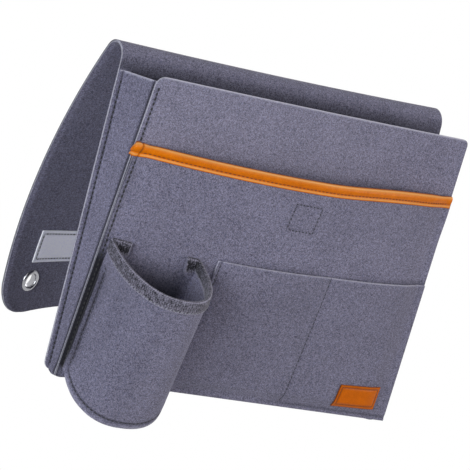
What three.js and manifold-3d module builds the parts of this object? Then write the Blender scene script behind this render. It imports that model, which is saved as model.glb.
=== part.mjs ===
// Felt armrest organizer: a wedge-shaped felt pouch that hangs beside an armrest from a flap thrown over it.
// Millimetres. +X is to the right seen from the front, the front faces -Y, +Z is up.
// Heights are counted from the panels' bottom edge; the origin is on the back panel's rear face.
import * as THREE from 'three';
import { mergeVertices } from 'three/addons/utils/BufferGeometryUtils.js';
import Module from 'manifold-3d';

const wasm = await Module();
wasm.setup();

const RADIAN = Math.PI / 180;

// Sheet goods and the gap between layers that lie on each other
const FELT = 3;
const BINDING = 1.2;
const TAPE = 1;
const FASTENER = 1.2;
const TOUCH = 0.3;
const PRESSED_FELT = 1.2;

// Pouch: back and front panels, gussets and bottom
const POUCH_WIDTH = 320;
const BACK_CORNER = 7;
const FRONT_TAPER = 16;
const FRONT_HEIGHT = 244;
const FRONT_CORNER = 8;
const FRONT_BOW = 8;
const BOTTOM_DEPTH = 22;
const TOP_DEPTH = 48.5;
const GUSSET_DROP = 5;
const SEAM = 6.5;
const SEAM_BEND = 3.2;

// Flap: the back panel's sheet goes over an arch and hangs behind, cupped towards the pouch
const BACK_RISE = 2.5;
const ARCH_RADIUS = 10.5;
const ARCH_TURN = 146 * RADIAN;
const FLAP_LENGTH = 255;
const FLAP_END_TURN = 177 * RADIAN;
const FLAP_CUPPING = 22 * RADIAN;
const FLAP_CORNER = 30;

// Hook-and-loop strips: one on the flap's inner face, its mate on the back panel's rear face
const STRIP_WIDTH = 29.5;
const STRIP_END_MARGIN = 26;
const STRIP_TO_HEM = 46;
const MATE_HEIGHT = 38;

// Eyelets in the flap's corners
const EYELET_BORE = 12;
const EYELET_WALL = 0.6;
const EYELET_FLANGE = 19.5;
const EYELET_DOME = 1.5;
const EYELET_SEAT = 0.6;
const EYELET_LIP = 0.7;
const WASHER_DOME = 0.8;
const EYELET_TO_SIDE = 31;
const EYELET_TO_HEM = 29;

// Front pocket with its bound edge
const POCKET_LEFT_HEIGHT = 189;
const POCKET_TILT = 5.3;
const POCKET_SAG = 3.7;
const POCKET_BOW = 20;
const TRIM_DROP = 8;
const TRIM_OVERHANG = 0.8;
const TRIM_EASE = 30;

// Fastener squares between the front pocket and the front panel
const SQUARE_WIDTH = 25;
const SQUARE_HEIGHT = 21.5;
const SQUARE_TO_EDGE = 18.2;

// Low double pocket and the patch on it
const LOWER_TO_CUP = 6;
const LOWER_LEFT_HEIGHT = 113.6;
const LOWER_TILT = 5.5;
const LOWER_DIVIDER = 48;
const LOWER_BOW = 3;
const LOWER_HEM = 5;
const PATCH_TO_SIDE = 16;
const PATCH_WIDTH = 43.5;
const PATCH_LOW = 9;
const PATCH_HEIGHT = 20;

// Cup holder: the rim and the lower hem are half ovals between two folds at the front pocket.
// Each oval's folds are at a height and a distance from the side edge; its front lies lower by the dip.
const CUP_RIM = { toSide: 4.7, width: 73.7, depth: 55.4, height: 111.9, dip: 29.8 };
const CUP_FOOT = { toSide: 1.7, width: 91, depth: 31, height: 9, dip: 36 };
const CUP_FULLNESS = 2.2;
const CUP_FLANGE = 15;
const CUP_FOLD = 6;
const CUP_HEM = 5;
const TAPE_DROP = 10;

// Height of the origin on the back panel's rear face
const ORIGIN_HEIGHT = 175;

// Heights that follow from the front panel's
const GUSSET_HEIGHT = FRONT_HEIGHT - GUSSET_DROP;
const SPRING_HEIGHT = FRONT_HEIGHT + BACK_RISE;

const clamp = THREE.MathUtils.clamp;
const lerp = THREE.MathUtils.lerp;
const point = (x, y, z) => new THREE.Vector3(x, y, z);

// Evenly spaced values from low to high, both included
function steps(low, high, count) {
  return Array.from({ length: count + 1 }, (_, i) => lerp(low, high, i / count));
}

// Values that run up to `end` along a quarter circle of the given radius, for a rounded corner
function cornerSteps(end, radius, count) {
  return steps(0, Math.PI / 2, count).map((angle) => end - radius + radius * Math.sin(angle));
}

// How far a rounded corner draws the edge in, at a distance `along` into the corner
function cornerInset(along, radius) {
  const reach = clamp(along, 0, radius);
  return radius - Math.sqrt(radius * radius - reach * reach);
}

// Unit normal of a surface(a, b), from its own small steps
function normalAt(surface, a, b) {
  const small = 1e-4;
  const alongA = surface(a + small, b).sub(surface(a - small, b));
  const alongB = surface(a, b + small).sub(surface(a, b - small));
  return alongA.cross(alongB).normalize();
}

// The surface moved along its normal
function lifted(surface, distance) {
  return (a, b) => surface(a, b).addScaledVector(normalAt(surface, a, b), distance);
}

// Closed solid between two surfaces over the same grid of parameters
function solidBetween(nearFace, farFace, as, bs) {
  const columns = as.length;
  const layer = columns * bs.length;
  const positions = [];
  const indices = [];
  for (const face of [nearFace, farFace]) {
    for (const b of bs) {
      for (const a of as) {
        positions.push(...face(a, b).toArray());
      }
    }
  }
  const at = (column, row) => row * columns + column;
  const quad = (p, q, r, s) => indices.push(p, q, r, p, r, s);
  for (let row = 0; row + 1 < bs.length; row += 1) {
    for (let column = 0; column + 1 < columns; column += 1) {
      const ring = [at(column, row), at(column + 1, row), at(column + 1, row + 1), at(column, row + 1)];
      quad(...ring);
      // the far face keeps the near face's diagonals
      const [p, q, r, s] = ring.map((index) => index + layer);
      indices.push(p, r, q, p, s, r);
    }
  }
  const edge = [];
  for (let column = 0; column + 1 < columns; column += 1) edge.push(at(column, 0));
  for (let row = 0; row + 1 < bs.length; row += 1) edge.push(at(columns - 1, row));
  for (let column = columns - 1; column > 0; column -= 1) edge.push(at(column, bs.length - 1));
  for (let row = bs.length - 1; row > 0; row -= 1) edge.push(at(0, row));
  edge.forEach((from, i) => {
    const to = edge[(i + 1) % edge.length];
    quad(to, from, from + layer, to + layer);
  });
  const geometry = new THREE.BufferGeometry();
  geometry.setAttribute('position', new THREE.Float32BufferAttribute(positions, 3));
  geometry.setIndex(indices);
  return facingOut(geometry);
}

// Turns a closed geometry the right way round
function facingOut(geometry) {
  const position = geometry.getAttribute('position');
  const index = geometry.getIndex();
  const corners = [point(0, 0, 0), point(0, 0, 0), point(0, 0, 0)];
  let volume = 0;
  for (let i = 0; i < index.count; i += 3) {
    corners.forEach((corner, k) => corner.fromBufferAttribute(position, index.getX(i + k)));
    volume += corners[0].dot(corners[1].clone().cross(corners[2]));
  }
  if (volume < 0) {
    for (let i = 0; i < index.count; i += 3) {
      const first = index.getX(i);
      index.setX(i, index.getX(i + 1));
      index.setX(i + 1, first);
    }
  }
  return geometry;
}

// Cuts the tools out of a geometry
function cut(geometry, tools) {
  const asSolid = (source) => {
    const bare = source.clone();
    bare.deleteAttribute('normal');
    bare.deleteAttribute('uv');
    const merged = mergeVertices(bare);
    return new wasm.Manifold(new wasm.Mesh({
      numProp: 3,
      vertProperties: new Float32Array(merged.getAttribute('position').array),
      triVerts: new Uint32Array(merged.getIndex().array),
    }));
  };
  const mesh = tools.reduce((solid, tool) => solid.subtract(asSolid(tool)), asSolid(geometry)).getMesh();
  const result = new THREE.BufferGeometry();
  result.setAttribute('position', new THREE.Float32BufferAttribute(mesh.vertProperties, 3));
  result.setIndex(Array.from(mesh.triVerts));
  return result;
}

// Finishes
const finish = (color, roughness, metalness = 0) => () => (
  new THREE.MeshStandardMaterial({ color, roughness, metalness })
);
const felt = finish('#6f6d81', 0.95);
const orangeLeather = finish('#c06c12', 0.5);
const wovenTape = finish('#5b5a60', 0.9);
const whiteFastener = finish('#c4c3d8', 0.85);
const brightMetal = finish('#c9c9cc', 0.25, 1);

const organizer = new THREE.Group();
const pouch = new THREE.Group();
const flapGroup = new THREE.Group();
organizer.add(pouch, flapGroup);
organizer.position.z = -ORIGIN_HEIGHT;

function addPiece(parent, name, geometry, makeMaterial) {
  const piece = new THREE.Mesh(geometry, makeMaterial());
  piece.name = name;
  parent.add(piece);
  return piece;
}

// Front surfaces. Each gives the y of a face at a place (x, z); layers follow the one behind them.
const frontHalf = (z) => (POUCH_WIDTH - FRONT_TAPER * z / FRONT_HEIGHT) / 2;
const frontPlane = (z) => -lerp(BOTTOM_DEPTH, TOP_DEPTH, z / FRONT_HEIGHT);

// Share of the half width at which the side seams run, and the columns of a layer between them
const SEAM_SHARE = 1 - 2 * SEAM / POUCH_WIDTH;
const ACROSS = 22;
const COLUMN_SHARE = 2 / ACROSS;

// Share of the bow at a place: full in the middle, none from the side seams outwards
function bowShare(x, z) {
  const across = clamp(x / (frontHalf(z) * SEAM_SHARE), -1, 1);
  return 1 - across * across;
}

// Share of the bow at a height: none at the bottom seam, full at the top
function bowRise(z, top) {
  return Math.sin(Math.PI / 2 * clamp((z - SEAM) / (top - SEAM), 0, 1));
}

const frontFace = (x, z) => frontPlane(z) - FRONT_BOW * (z / FRONT_HEIGHT) ** 2 * bowShare(x, z);

function pocketHeight(x) {
  const across = clamp(x / frontHalf(POCKET_LEFT_HEIGHT), -1, 1);
  return POCKET_LEFT_HEIGHT + POCKET_TILT * (across + 1) / 2 - POCKET_SAG * (1 - across * across);
}

// Room that the binding's rear leg takes between the front panel and the front pocket.
// It opens between two shares of the pocket's height.
const TRIM_FOOT = 1 - 1.2 * TRIM_DROP / POCKET_LEFT_HEIGHT;
const TRIM_EASE_FOOT = TRIM_FOOT - TRIM_EASE / POCKET_LEFT_HEIGHT;

function trimRoom(x, z) {
  const rise = z / pocketHeight(x);
  return (BINDING + TOUCH) * clamp((rise - TRIM_EASE_FOOT) / (TRIM_FOOT - TRIM_EASE_FOOT), 0, 1);
}

function pocketRear(x, z) {
  const bow = POCKET_BOW * bowRise(z, pocketHeight(x)) * bowShare(x, z);
  return frontFace(x, z) - TOUCH - trimRoom(x, z) - bow;
}

// Thickness of a sewn-on layer: pressed at the side seams, full one column further in
function sewnFelt(x, z) {
  const fromSeam = 1 - Math.abs(x) / (frontHalf(z) * SEAM_SHARE);
  return lerp(PRESSED_FELT, FELT, clamp(fromSeam / COLUMN_SHARE, 0, 1));
}

const pocketFace = (x, z) => pocketRear(x, z) - sewnFelt(x, z);

// The cup's folds and the low pocket beside them
const cupLeft = (oval) => oval.toSide - frontHalf(oval.height);
const LOWER_LEFT = cupLeft(CUP_FOOT) + CUP_FOOT.width + LOWER_TO_CUP;

function lowerHeight(x) {
  const share = (x - LOWER_LEFT) / (frontHalf(LOWER_LEFT_HEIGHT) - LOWER_LEFT);
  return LOWER_LEFT_HEIGHT + LOWER_TILT * clamp(share, 0, 1);
}

// Each of the two low pockets swells between its own seams
function lowerSwell(x, z) {
  const first = LOWER_LEFT + LOWER_HEM;
  const last = frontHalf(z) * SEAM_SHARE;
  const [from, to] = x < LOWER_DIVIDER ? [first, LOWER_DIVIDER] : [LOWER_DIVIDER, last];
  const across = clamp(2 * (x - from) / (to - from) - 1, -1, 1);
  return LOWER_BOW * bowRise(z, lowerHeight(x)) * (1 - across * across);
}

const lowerRear = (x, z) => pocketFace(x, z) - TOUCH - lowerSwell(x, z);
const lowerFace = (x, z) => lowerRear(x, z) - sewnFelt(x, z);

// A layer of given thickness in front of the face y(x, z), over a rectangle
function layerOn(face, xs, zs, thickness) {
  return solidBetween(
    (x, z) => point(x, face(x, z) - TOUCH, z),
    (x, z) => point(x, face(x, z) - TOUCH - thickness, z),
    xs,
    zs,
  );
}

// Back panel: flat with rounded lower corners, its mounting face bare above the fastener strip
const backHalf = (z) => POUCH_WIDTH / 2 - cornerInset(BACK_CORNER - z, BACK_CORNER);

function backPanel() {
  const cornerRows = cornerSteps(BACK_CORNER, BACK_CORNER, 4).map((z) => BACK_CORNER - z).reverse();
  return solidBetween(
    (u, z) => point(u * backHalf(z), 0, z),
    (u, z) => point(u * backHalf(z), -FELT, z),
    [-1, 1],
    [...cornerRows, MATE_HEIGHT + 2 * STRIP_WIDTH, SPRING_HEIGHT],
  );
}
addPiece(pouch, 'back_panel', backPanel(), felt);

// Mate of the flap's strip, on the rear of the back panel
const STRIP_LENGTH = POUCH_WIDTH - 2 * STRIP_END_MARGIN;
const mateGeometry = new THREE.BoxGeometry(STRIP_LENGTH, FASTENER, STRIP_WIDTH);
mateGeometry.translate(0, TOUCH + FASTENER / 2, MATE_HEIGHT + STRIP_WIDTH / 2);
addPiece(pouch, 'back_fastener_strip', mateGeometry, whiteFastener);

// Path with two rounded corners through four points of a plane: flange, bend, web, bend, flange
function channelPath(corners, bend) {
  const path = new THREE.CurvePath();
  const towards = (from, to) => from.clone().add(to.clone().sub(from).setLength(bend));
  const [start, first, second, end] = corners;
  path.add(new THREE.LineCurve(start, towards(first, start)));
  path.add(new THREE.QuadraticBezierCurve(towards(first, start), first, towards(first, second)));
  path.add(new THREE.LineCurve(towards(first, second), towards(second, first)));
  path.add(new THREE.QuadraticBezierCurve(towards(second, first), second, towards(second, end)));
  path.add(new THREE.LineCurve(towards(second, end), end));
  return path;
}

// Parameters along such a path: the ends of each leg and a few points in each bend
const BEND_STEPS = 3;
const channelSteps = [0, ...steps(1, 2, BEND_STEPS), ...steps(3, 4, BEND_STEPS), 5];

// Point on a path at leg number plus share along that leg, run on in a straight line past the ends
function alongLegs(path, parameter) {
  const leg = clamp(Math.floor(parameter), 0, path.curves.length - 1);
  const share = parameter - leg;
  if (share >= 0 && share <= 1) return path.curves[leg].getPoint(share);
  const from = path.curves[leg].getPoint(share < 0 ? 0 : 1);
  const along = path.curves[leg].getPoint(1).sub(path.curves[leg].getPoint(0));
  return from.addScaledVector(along, share < 0 ? share : share - 1);
}

// Gussets: wedge-shaped sides that stand on the bottom strip, turned outwards against both panels
function gusset(side) {
  const inner = (leg, z) => {
    const frontY = frontPlane(z) + FELT + TOUCH;
    const path = channelPath([
      new THREE.Vector2(POUCH_WIDTH / 2, -FELT - TOUCH),
      new THREE.Vector2(POUCH_WIDTH / 2 - SEAM, -FELT - TOUCH),
      new THREE.Vector2(frontHalf(z) - SEAM, frontY),
      new THREE.Vector2(frontHalf(z), frontY),
    ], SEAM_BEND);
    const place = alongLegs(path, leg);
    return point(side * place.x, place.y, z);
  };
  const rows = [Math.max(SEAM + TOUCH, BACK_CORNER), GUSSET_HEIGHT];
  return solidBetween(inner, lifted(inner, -side * FELT), channelSteps, rows);
}
addPiece(pouch, 'gusset_left', gusset(-1), felt);
addPiece(pouch, 'gusset_right', gusset(1), felt);

// Bottom strip: the same channel under the gussets, turned down against both panels
function bottomStrip() {
  const path = channelPath([
    new THREE.Vector2(-FELT - TOUCH, 0),
    new THREE.Vector2(-FELT - TOUCH, SEAM),
    new THREE.Vector2(frontPlane(SEAM) + FELT + TOUCH, SEAM),
    new THREE.Vector2(frontPlane(0) + FELT + TOUCH, 0),
  ], SEAM_BEND);
  const inner = (leg, x) => {
    const place = alongLegs(path, leg);
    return point(x, place.x, place.y);
  };
  return solidBetween(inner, lifted(inner, -FELT), channelSteps, [-backHalf(0), backHalf(0)]);
}
addPiece(pouch, 'bottom_strip', bottomStrip(), felt);

// A felt layer between two faces y(x, z), over a grid whose places are given by place(column, row)
function feltLayer(rear, face, place, columns, rows) {
  const spread = (height) => (column, row) => {
    const { x, z } = place(column, row);
    return point(x, height(x, z), z);
  };
  return solidBetween(spread(face), spread(rear), columns, rows);
}

// Columns of a bowed layer: the side seams, and even steps between them
const bowedColumns = [-1, ...steps(-SEAM_SHARE, SEAM_SHARE, ACROSS), 1];

// Front panel: tall layer with rounded top corners
function frontPanel() {
  const halfAt = (z) => frontHalf(z) - cornerInset(z - FRONT_HEIGHT + FRONT_CORNER, FRONT_CORNER);
  const heights = [
    0,
    ...steps(SEAM, FRONT_HEIGHT - FRONT_CORNER, 8),
    ...cornerSteps(FRONT_HEIGHT, FRONT_CORNER, 4).slice(1),
  ];
  const rear = (x, z) => frontFace(x, z) + FELT;
  return feltLayer(rear, frontFace, (u, z) => ({ x: u * halfAt(z), z }), bowedColumns, heights);
}
addPiece(pouch, 'front_panel', frontPanel(), felt);

// Front pocket: bowed layer whose top edge sags a little between the side seams
function frontPocketPanel() {
  const place = (u, rise) => {
    const z = rise * pocketHeight(u * frontHalf(POCKET_LEFT_HEIGHT));
    return { x: u * frontHalf(z), z };
  };
  const rises = [
    0,
    ...steps(SEAM / POCKET_LEFT_HEIGHT, TRIM_EASE_FOOT, 8),
    ...steps(TRIM_EASE_FOOT, TRIM_FOOT, 2).slice(1),
    1,
  ];
  return feltLayer(pocketRear, pocketFace, place, bowedColumns, rises);
}
addPiece(pouch, 'front_pocket_panel', frontPocketPanel(), felt);

// Binding over the front pocket's top edge: front leg, round top, rear leg
const WRAP_STEPS = 4;
const wrapSteps = [0, 0.5, ...steps(1, 2, WRAP_STEPS), 2.5, 3];

function pocketTrim() {
  const inner = (u, leg) => {
    const x = u * (frontHalf(POCKET_LEFT_HEIGHT) + TRIM_OVERHANG);
    const top = pocketHeight(x);
    const edgeShare = clamp(x / frontHalf(POCKET_LEFT_HEIGHT), -1, 1);
    const reach = (z) => edgeShare * frontHalf(z) + (x - edgeShare * frontHalf(POCKET_LEFT_HEIGHT));
    const atHeight = (face, z, extra) => point(reach(z), face(reach(z), z) + extra, z);
    if (leg <= 1) return atHeight(pocketFace, top - TRIM_DROP * (1 - leg), -TOUCH);
    if (leg >= 2) return atHeight(pocketRear, top - TRIM_DROP * (leg - 2), TOUCH);
    const angle = Math.PI * (leg - 1);
    const half = sewnFelt(reach(top), top) / 2;
    const over = half + TOUCH;
    const round = atHeight(pocketFace, top, half);
    round.y -= over * Math.cos(angle);
    round.z += over * Math.sin(angle);
    return round;
  };
  return solidBetween(inner, lifted(inner, BINDING), bowedColumns, wrapSteps);
}
addPiece(pouch, 'pocket_trim', pocketTrim(), orangeLeather);

// Fastener squares, one on each of the facing layers
const squareXs = steps(-SQUARE_WIDTH / 2, SQUARE_WIDTH / 2, 2);
const squareTop = pocketHeight(0) - SQUARE_TO_EDGE;
const squareZs = steps(squareTop - SQUARE_HEIGHT, squareTop, 2);
addPiece(pouch, 'closure_loop_square', layerOn(frontFace, squareXs, squareZs, FASTENER), whiteFastener);
const behindPocket = (x, z) => pocketRear(x, z) + 2 * TOUCH + FASTENER;
addPiece(pouch, 'closure_hook_square', layerOn(behindPocket, squareXs, squareZs, FASTENER), whiteFastener);

// Low double pocket: from its left hem to the right side seam, sewn through at the divider
function lowerPocketPanel() {
  const columnX = (column, z) => {
    const seam = frontHalf(z) * SEAM_SHARE;
    const hem = LOWER_LEFT + LOWER_HEM;
    const lines = [LOWER_LEFT, hem, LOWER_DIVIDER, seam * (1 - COLUMN_SHARE), seam, frontHalf(z)];
    const line = Math.min(Math.floor(column), lines.length - 2);
    return lerp(lines[line], lines[line + 1], column - line);
  };
  const place = (column, rise) => {
    const z = rise * lowerHeight(columnX(column, LOWER_LEFT_HEIGHT));
    return { x: columnX(column, z), z };
  };
  const columns = [0, ...steps(1, 3, 16), 4, 5];
  const rises = [0, ...steps(SEAM / LOWER_LEFT_HEIGHT, 1, 7)];
  return feltLayer(lowerRear, lowerFace, place, columns, rises);
}
addPiece(pouch, 'lower_pocket_panel', lowerPocketPanel(), felt);

// Patch on the low pocket, plain
const patchRight = frontHalf(PATCH_LOW) - PATCH_TO_SIDE;
const patchXs = steps(patchRight - PATCH_WIDTH, patchRight, 12);
const patchZs = steps(PATCH_LOW, PATCH_LOW + PATCH_HEIGHT, 3);
addPiece(pouch, 'leather_patch', layerOn(lowerFace, patchXs, patchZs, BINDING), orangeLeather);

// Cup wall, outer face: flange on the pocket, fold, half oval, fold, flange. rise runs from foot to rim.
function cupWall(leg, rise) {
  const at = (key) => lerp(CUP_FOOT[key], CUP_RIM[key], rise);
  const depth = at('depth');
  const half = at('width') / 2;
  const middle = lerp(cupLeft(CUP_FOOT), cupLeft(CUP_RIM), rise) + half;
  // the flanges stand off by the tape's rear leg near the rim
  const legFoot = 1 - 2 * TAPE_DROP / (CUP_RIM.height - CUP_FOOT.height);
  const lift = TOUCH + (TAPE + TOUCH) * clamp((rise - legFoot) / ((1 - legFoot) / 2), 0, 1);
  const mirrored = leg > 2.5;
  const part = mirrored ? 5 - leg : leg;
  let inward = 0;
  let forward = 0;
  if (part <= 1) {
    inward = lerp(CUP_FLANGE, CUP_FOLD, part);
  } else if (part <= 2) {
    const angle = Math.PI / 2 * (part - 1);
    inward = CUP_FOLD * (1 - Math.sin(angle));
    forward = CUP_FOLD * (1 - Math.cos(angle));
  } else {
    const angle = Math.PI * (part - 2);
    inward = half * (1 - Math.cos(angle) ** (2 / CUP_FULLNESS));
    forward = CUP_FOLD + (depth - CUP_FOLD) * Math.sin(angle) ** (2 / CUP_FULLNESS);
  }
  const x = mirrored ? middle + half - inward : middle - half + inward;
  const y = pocketFace(x, at('height')) - lift - forward;
  return point(x, y, at('height') - at('dip') * forward / depth);
}

const OVAL_STEPS = 16;
const cupLegs = [
  0,
  ...steps(1, 2, BEND_STEPS),
  ...steps(2, 3, OVAL_STEPS).slice(1, -1),
  ...steps(3, 4, BEND_STEPS),
  5,
];
const cupInside = lifted(cupWall, -FELT);
addPiece(pouch, 'cup_wall', solidBetween(cupWall, cupInside, cupLegs, steps(0, 1, 6)), felt);

// Cup base: a half oval of felt just above the wall's hem, sloping down to the front like the hem
function cupBase() {
  const wallHeight = CUP_RIM.height - CUP_FOOT.height;
  const inset = FELT + TOUCH;
  const inner = lifted(cupWall, -inset);
  const faceAt = (height) => (leg, share) => {
    const front = inner(leg, height / wallHeight);
    const rearHeight = CUP_FOOT.height + height;
    const rear = point(front.x, pocketFace(front.x, rearHeight) - inset - TOUCH, rearHeight);
    return rear.lerp(front, share);
  };
  const upright = FELT * Math.hypot(1, CUP_FOOT.dip / CUP_FOOT.depth);
  const legs = steps(2, 3, OVAL_STEPS).slice(2, -2);
  return solidBetween(faceAt(CUP_HEM), faceAt(CUP_HEM + upright), legs, steps(0, 1, 2));
}
addPiece(pouch, 'cup_base', cupBase(), felt);

// Woven tape folded over the cup's rim, ending on the flanges
function cupTape() {
  const over = FELT / 2 + TOUCH;
  const drop = TAPE_DROP / (CUP_RIM.height - CUP_FOOT.height);
  const outside = lifted(cupWall, TOUCH);
  const inside = lifted(cupWall, -FELT - TOUCH);
  const inner = (place, leg) => {
    if (leg <= 1) return outside(place, 1 - drop * (1 - leg));
    if (leg >= 2) return inside(place, 1 - drop * (leg - 2));
    const angle = Math.PI * (leg - 1);
    const inwards = normalAt(cupWall, place, 1).negate();
    const up = cupWall(place, 1).sub(cupWall(place, 1 - drop)).normalize();
    return cupWall(place, 1)
      .addScaledVector(inwards, FELT / 2 - over * Math.cos(angle))
      .addScaledVector(up, over * Math.sin(angle));
  };
  return solidBetween(inner, lifted(inner, TAPE), cupLegs, wrapSteps);
}
addPiece(pouch, 'cup_binding_tape', cupTape(), wovenTape);

// Arch over which the sheet turns from the back panel into the flap
const archOuter = ARCH_RADIUS + FELT;
const archPoint = (radius) => (u, turn) => point(
  u * POUCH_WIDTH / 2,
  ARCH_RADIUS - radius * Math.cos(turn),
  SPRING_HEIGHT + radius * Math.sin(turn),
);
const archTurns = steps(TOUCH / ARCH_RADIUS, ARCH_TURN - TOUCH / ARCH_RADIUS, 12);
const arch = solidBetween(archPoint(ARCH_RADIUS), archPoint(archOuter), [-1, 0, 1], archTurns);
addPiece(pouch, 'flap_bend', arch, felt);

// Profile of the flap's outer face down from the arch: an arc that opens with the cupping
function flapProfile(cupping, down) {
  const curl = (FLAP_END_TURN - ARCH_TURN - FLAP_CUPPING * cupping) / FLAP_LENGTH * down / 2;
  const chord = Math.abs(curl) < 1e-9 ? down : down * Math.sin(curl) / curl;
  const heading = ARCH_TURN + curl;
  const along = point(0, Math.sin(heading), Math.cos(heading));
  return archPoint(archOuter)(0, ARCH_TURN).addScaledVector(along, chord);
}

// Outer face of the flap at a share across and a distance down; the sheet narrows as it cups
function flapFace(u, down) {
  const place = flapProfile(1 - u * u, down);
  const hollow = flapProfile(1, down).distanceTo(flapProfile(0, down));
  const half = POUCH_WIDTH / 2 - 2 / 3 * hollow * hollow / (POUCH_WIDTH / 2);
  return place.setX(u * half);
}

// The same with the lower corners rounded
function flapCut(u, down) {
  const inset = cornerInset(down - FLAP_LENGTH + FLAP_CORNER, FLAP_CORNER);
  return flapFace(u * (1 - inset / (POUCH_WIDTH / 2)), down);
}

const stripTop = FLAP_LENGTH - STRIP_TO_HEM - STRIP_WIDTH;
const stripRows = steps(stripTop, stripTop + STRIP_WIDTH, 1);
const stripShare = STRIP_LENGTH / POUCH_WIDTH;
const stripColumns = steps(-stripShare, stripShare, 20);

// Eyelet places: distance from the side edge and from the hem
const eyeletShare = 1 - EYELET_TO_SIDE / (POUCH_WIDTH / 2);
const eyeletDown = FLAP_LENGTH - EYELET_TO_HEM;
const barrelRadius = EYELET_BORE / 2 + EYELET_WALL;

// Frame at an eyelet: on the felt's inner face, with the normal towards the pouch along local Z
function eyeletFrame(side) {
  const inwards = normalAt(flapFace, side * eyeletShare, eyeletDown).negate();
  const place = flapFace(side * eyeletShare, eyeletDown).addScaledVector(inwards, FELT);
  const turn = new THREE.Quaternion().setFromUnitVectors(point(0, 0, 1), inwards);
  return { place, turn };
}

function flapSheet() {
  const rows = [
    TOUCH,
    ...steps(0, stripTop, 6).slice(1, -1),
    ...stripRows,
    (stripRows[1] + FLAP_LENGTH - FLAP_CORNER) / 2,
    ...cornerSteps(FLAP_LENGTH, FLAP_CORNER, 5),
  ];
  const columns = [-1, ...stripColumns, 1];
  const sheet = solidBetween(flapCut, lifted(flapCut, -FELT), columns, rows);
  const holes = [-1, 1].map((side) => {
    const { place, turn } = eyeletFrame(side);
    const hole = new THREE.CylinderGeometry(barrelRadius + TOUCH, barrelRadius + TOUCH, 4 * FELT, 24);
    hole.rotateX(Math.PI / 2);
    hole.applyQuaternion(turn);
    return hole.translate(place.x, place.y, place.z);
  });
  return cut(sheet, holes);
}

addPiece(flapGroup, 'flap', flapSheet(), felt);

const flapStrip = solidBetween(
  lifted(flapFace, -FELT - TOUCH),
  lifted(flapFace, -FELT - TOUCH - FASTENER),
  stripColumns,
  stripRows,
);
addPiece(flapGroup, 'flap_fastener_strip', flapStrip, whiteFastener);

// Eyelet: domed flange on the inner face, barrel through the felt, lip rolled over the washer
const washerFace = FELT + EYELET_SEAT;
const lipFace = washerFace + WASHER_DOME + TOUCH;

function eyeletProfile() {
  const bore = EYELET_BORE / 2;
  const rim = EYELET_FLANGE / 2;
  return [
    [bore, EYELET_SEAT + EYELET_DOME * 0.7],
    [bore, -lipFace - EYELET_LIP / 2],
    [bore + EYELET_WALL / 2, -lipFace - EYELET_LIP],
    [barrelRadius + EYELET_LIP, -lipFace - EYELET_LIP / 2],
    [barrelRadius + EYELET_LIP, -lipFace],
    [barrelRadius, -lipFace],
    [barrelRadius, EYELET_SEAT],
    [rim, EYELET_SEAT],
    [rim, EYELET_SEAT + EYELET_DOME * 0.3],
    [lerp(bore, rim, 0.7), EYELET_SEAT + EYELET_DOME],
    [lerp(bore, rim, 0.25), EYELET_SEAT + EYELET_DOME],
    [bore, EYELET_SEAT + EYELET_DOME * 0.7],
  ].map(([r, h]) => new THREE.Vector2(r, h));
}

function washerProfile() {
  const hole = barrelRadius + TOUCH;
  const rim = EYELET_FLANGE / 2;
  return [
    [hole, -washerFace],
    [hole, -washerFace - WASHER_DOME],
    [(hole + rim) / 2, -washerFace - WASHER_DOME],
    [rim, -washerFace - WASHER_DOME / 3],
    [rim, -washerFace],
    [hole, -washerFace],
  ].map(([r, h]) => new THREE.Vector2(r, h));
}

// Ring turned from a closed profile, with its seam closed and its axis along local Z
function turnedRing(profile) {
  const ring = new THREE.LatheGeometry(profile, 24);
  ring.deleteAttribute('normal');
  ring.deleteAttribute('uv');
  ring.rotateX(Math.PI / 2);
  return facingOut(mergeVertices(ring));
}

for (const [side, word] of [[-1, 'left'], [1, 'right']]) {
  const { place, turn } = eyeletFrame(side);
  for (const [name, profile] of [['eyelet', eyeletProfile()], ['eyelet_washer', washerProfile()]]) {
    const piece = addPiece(flapGroup, `${name}_${word}`, turnedRing(profile), brightMetal);
    piece.position.copy(place);
    piece.quaternion.copy(turn);
  }
}

export default organizer;
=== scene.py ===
"""Felt armrest organizer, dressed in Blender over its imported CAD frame.

Sizes are written in millimetres with heights counted from the panels' bottom edge, as in the part's source.
Every finished piece sits at the origin of the frame, in metres.
"""
import logging
import math
from dataclasses import dataclass, field
from enum import Enum
from typing import Any, Callable, Iterable, Sequence

import bpy
from mathutils import Matrix, Vector


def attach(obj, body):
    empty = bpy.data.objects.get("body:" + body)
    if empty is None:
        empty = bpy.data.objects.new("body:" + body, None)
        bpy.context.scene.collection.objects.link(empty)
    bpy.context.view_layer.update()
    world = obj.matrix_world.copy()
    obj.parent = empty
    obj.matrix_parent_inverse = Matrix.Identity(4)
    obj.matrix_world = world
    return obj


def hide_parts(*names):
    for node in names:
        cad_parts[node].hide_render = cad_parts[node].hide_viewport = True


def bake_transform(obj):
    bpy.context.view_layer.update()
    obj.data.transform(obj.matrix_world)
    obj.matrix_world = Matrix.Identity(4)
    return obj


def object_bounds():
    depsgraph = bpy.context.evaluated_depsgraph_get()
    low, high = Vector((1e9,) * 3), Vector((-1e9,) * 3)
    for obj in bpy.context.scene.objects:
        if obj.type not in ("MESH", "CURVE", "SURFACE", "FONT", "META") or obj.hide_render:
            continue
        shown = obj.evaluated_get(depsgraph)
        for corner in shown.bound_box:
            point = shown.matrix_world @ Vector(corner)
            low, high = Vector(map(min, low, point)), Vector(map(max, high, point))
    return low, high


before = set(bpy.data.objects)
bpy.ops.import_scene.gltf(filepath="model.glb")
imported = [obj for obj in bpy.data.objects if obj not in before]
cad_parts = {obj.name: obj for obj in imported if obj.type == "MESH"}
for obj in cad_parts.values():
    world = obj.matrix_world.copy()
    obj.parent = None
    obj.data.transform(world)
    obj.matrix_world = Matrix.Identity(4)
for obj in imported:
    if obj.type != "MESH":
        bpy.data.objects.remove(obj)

CAD_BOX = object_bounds()

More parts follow.
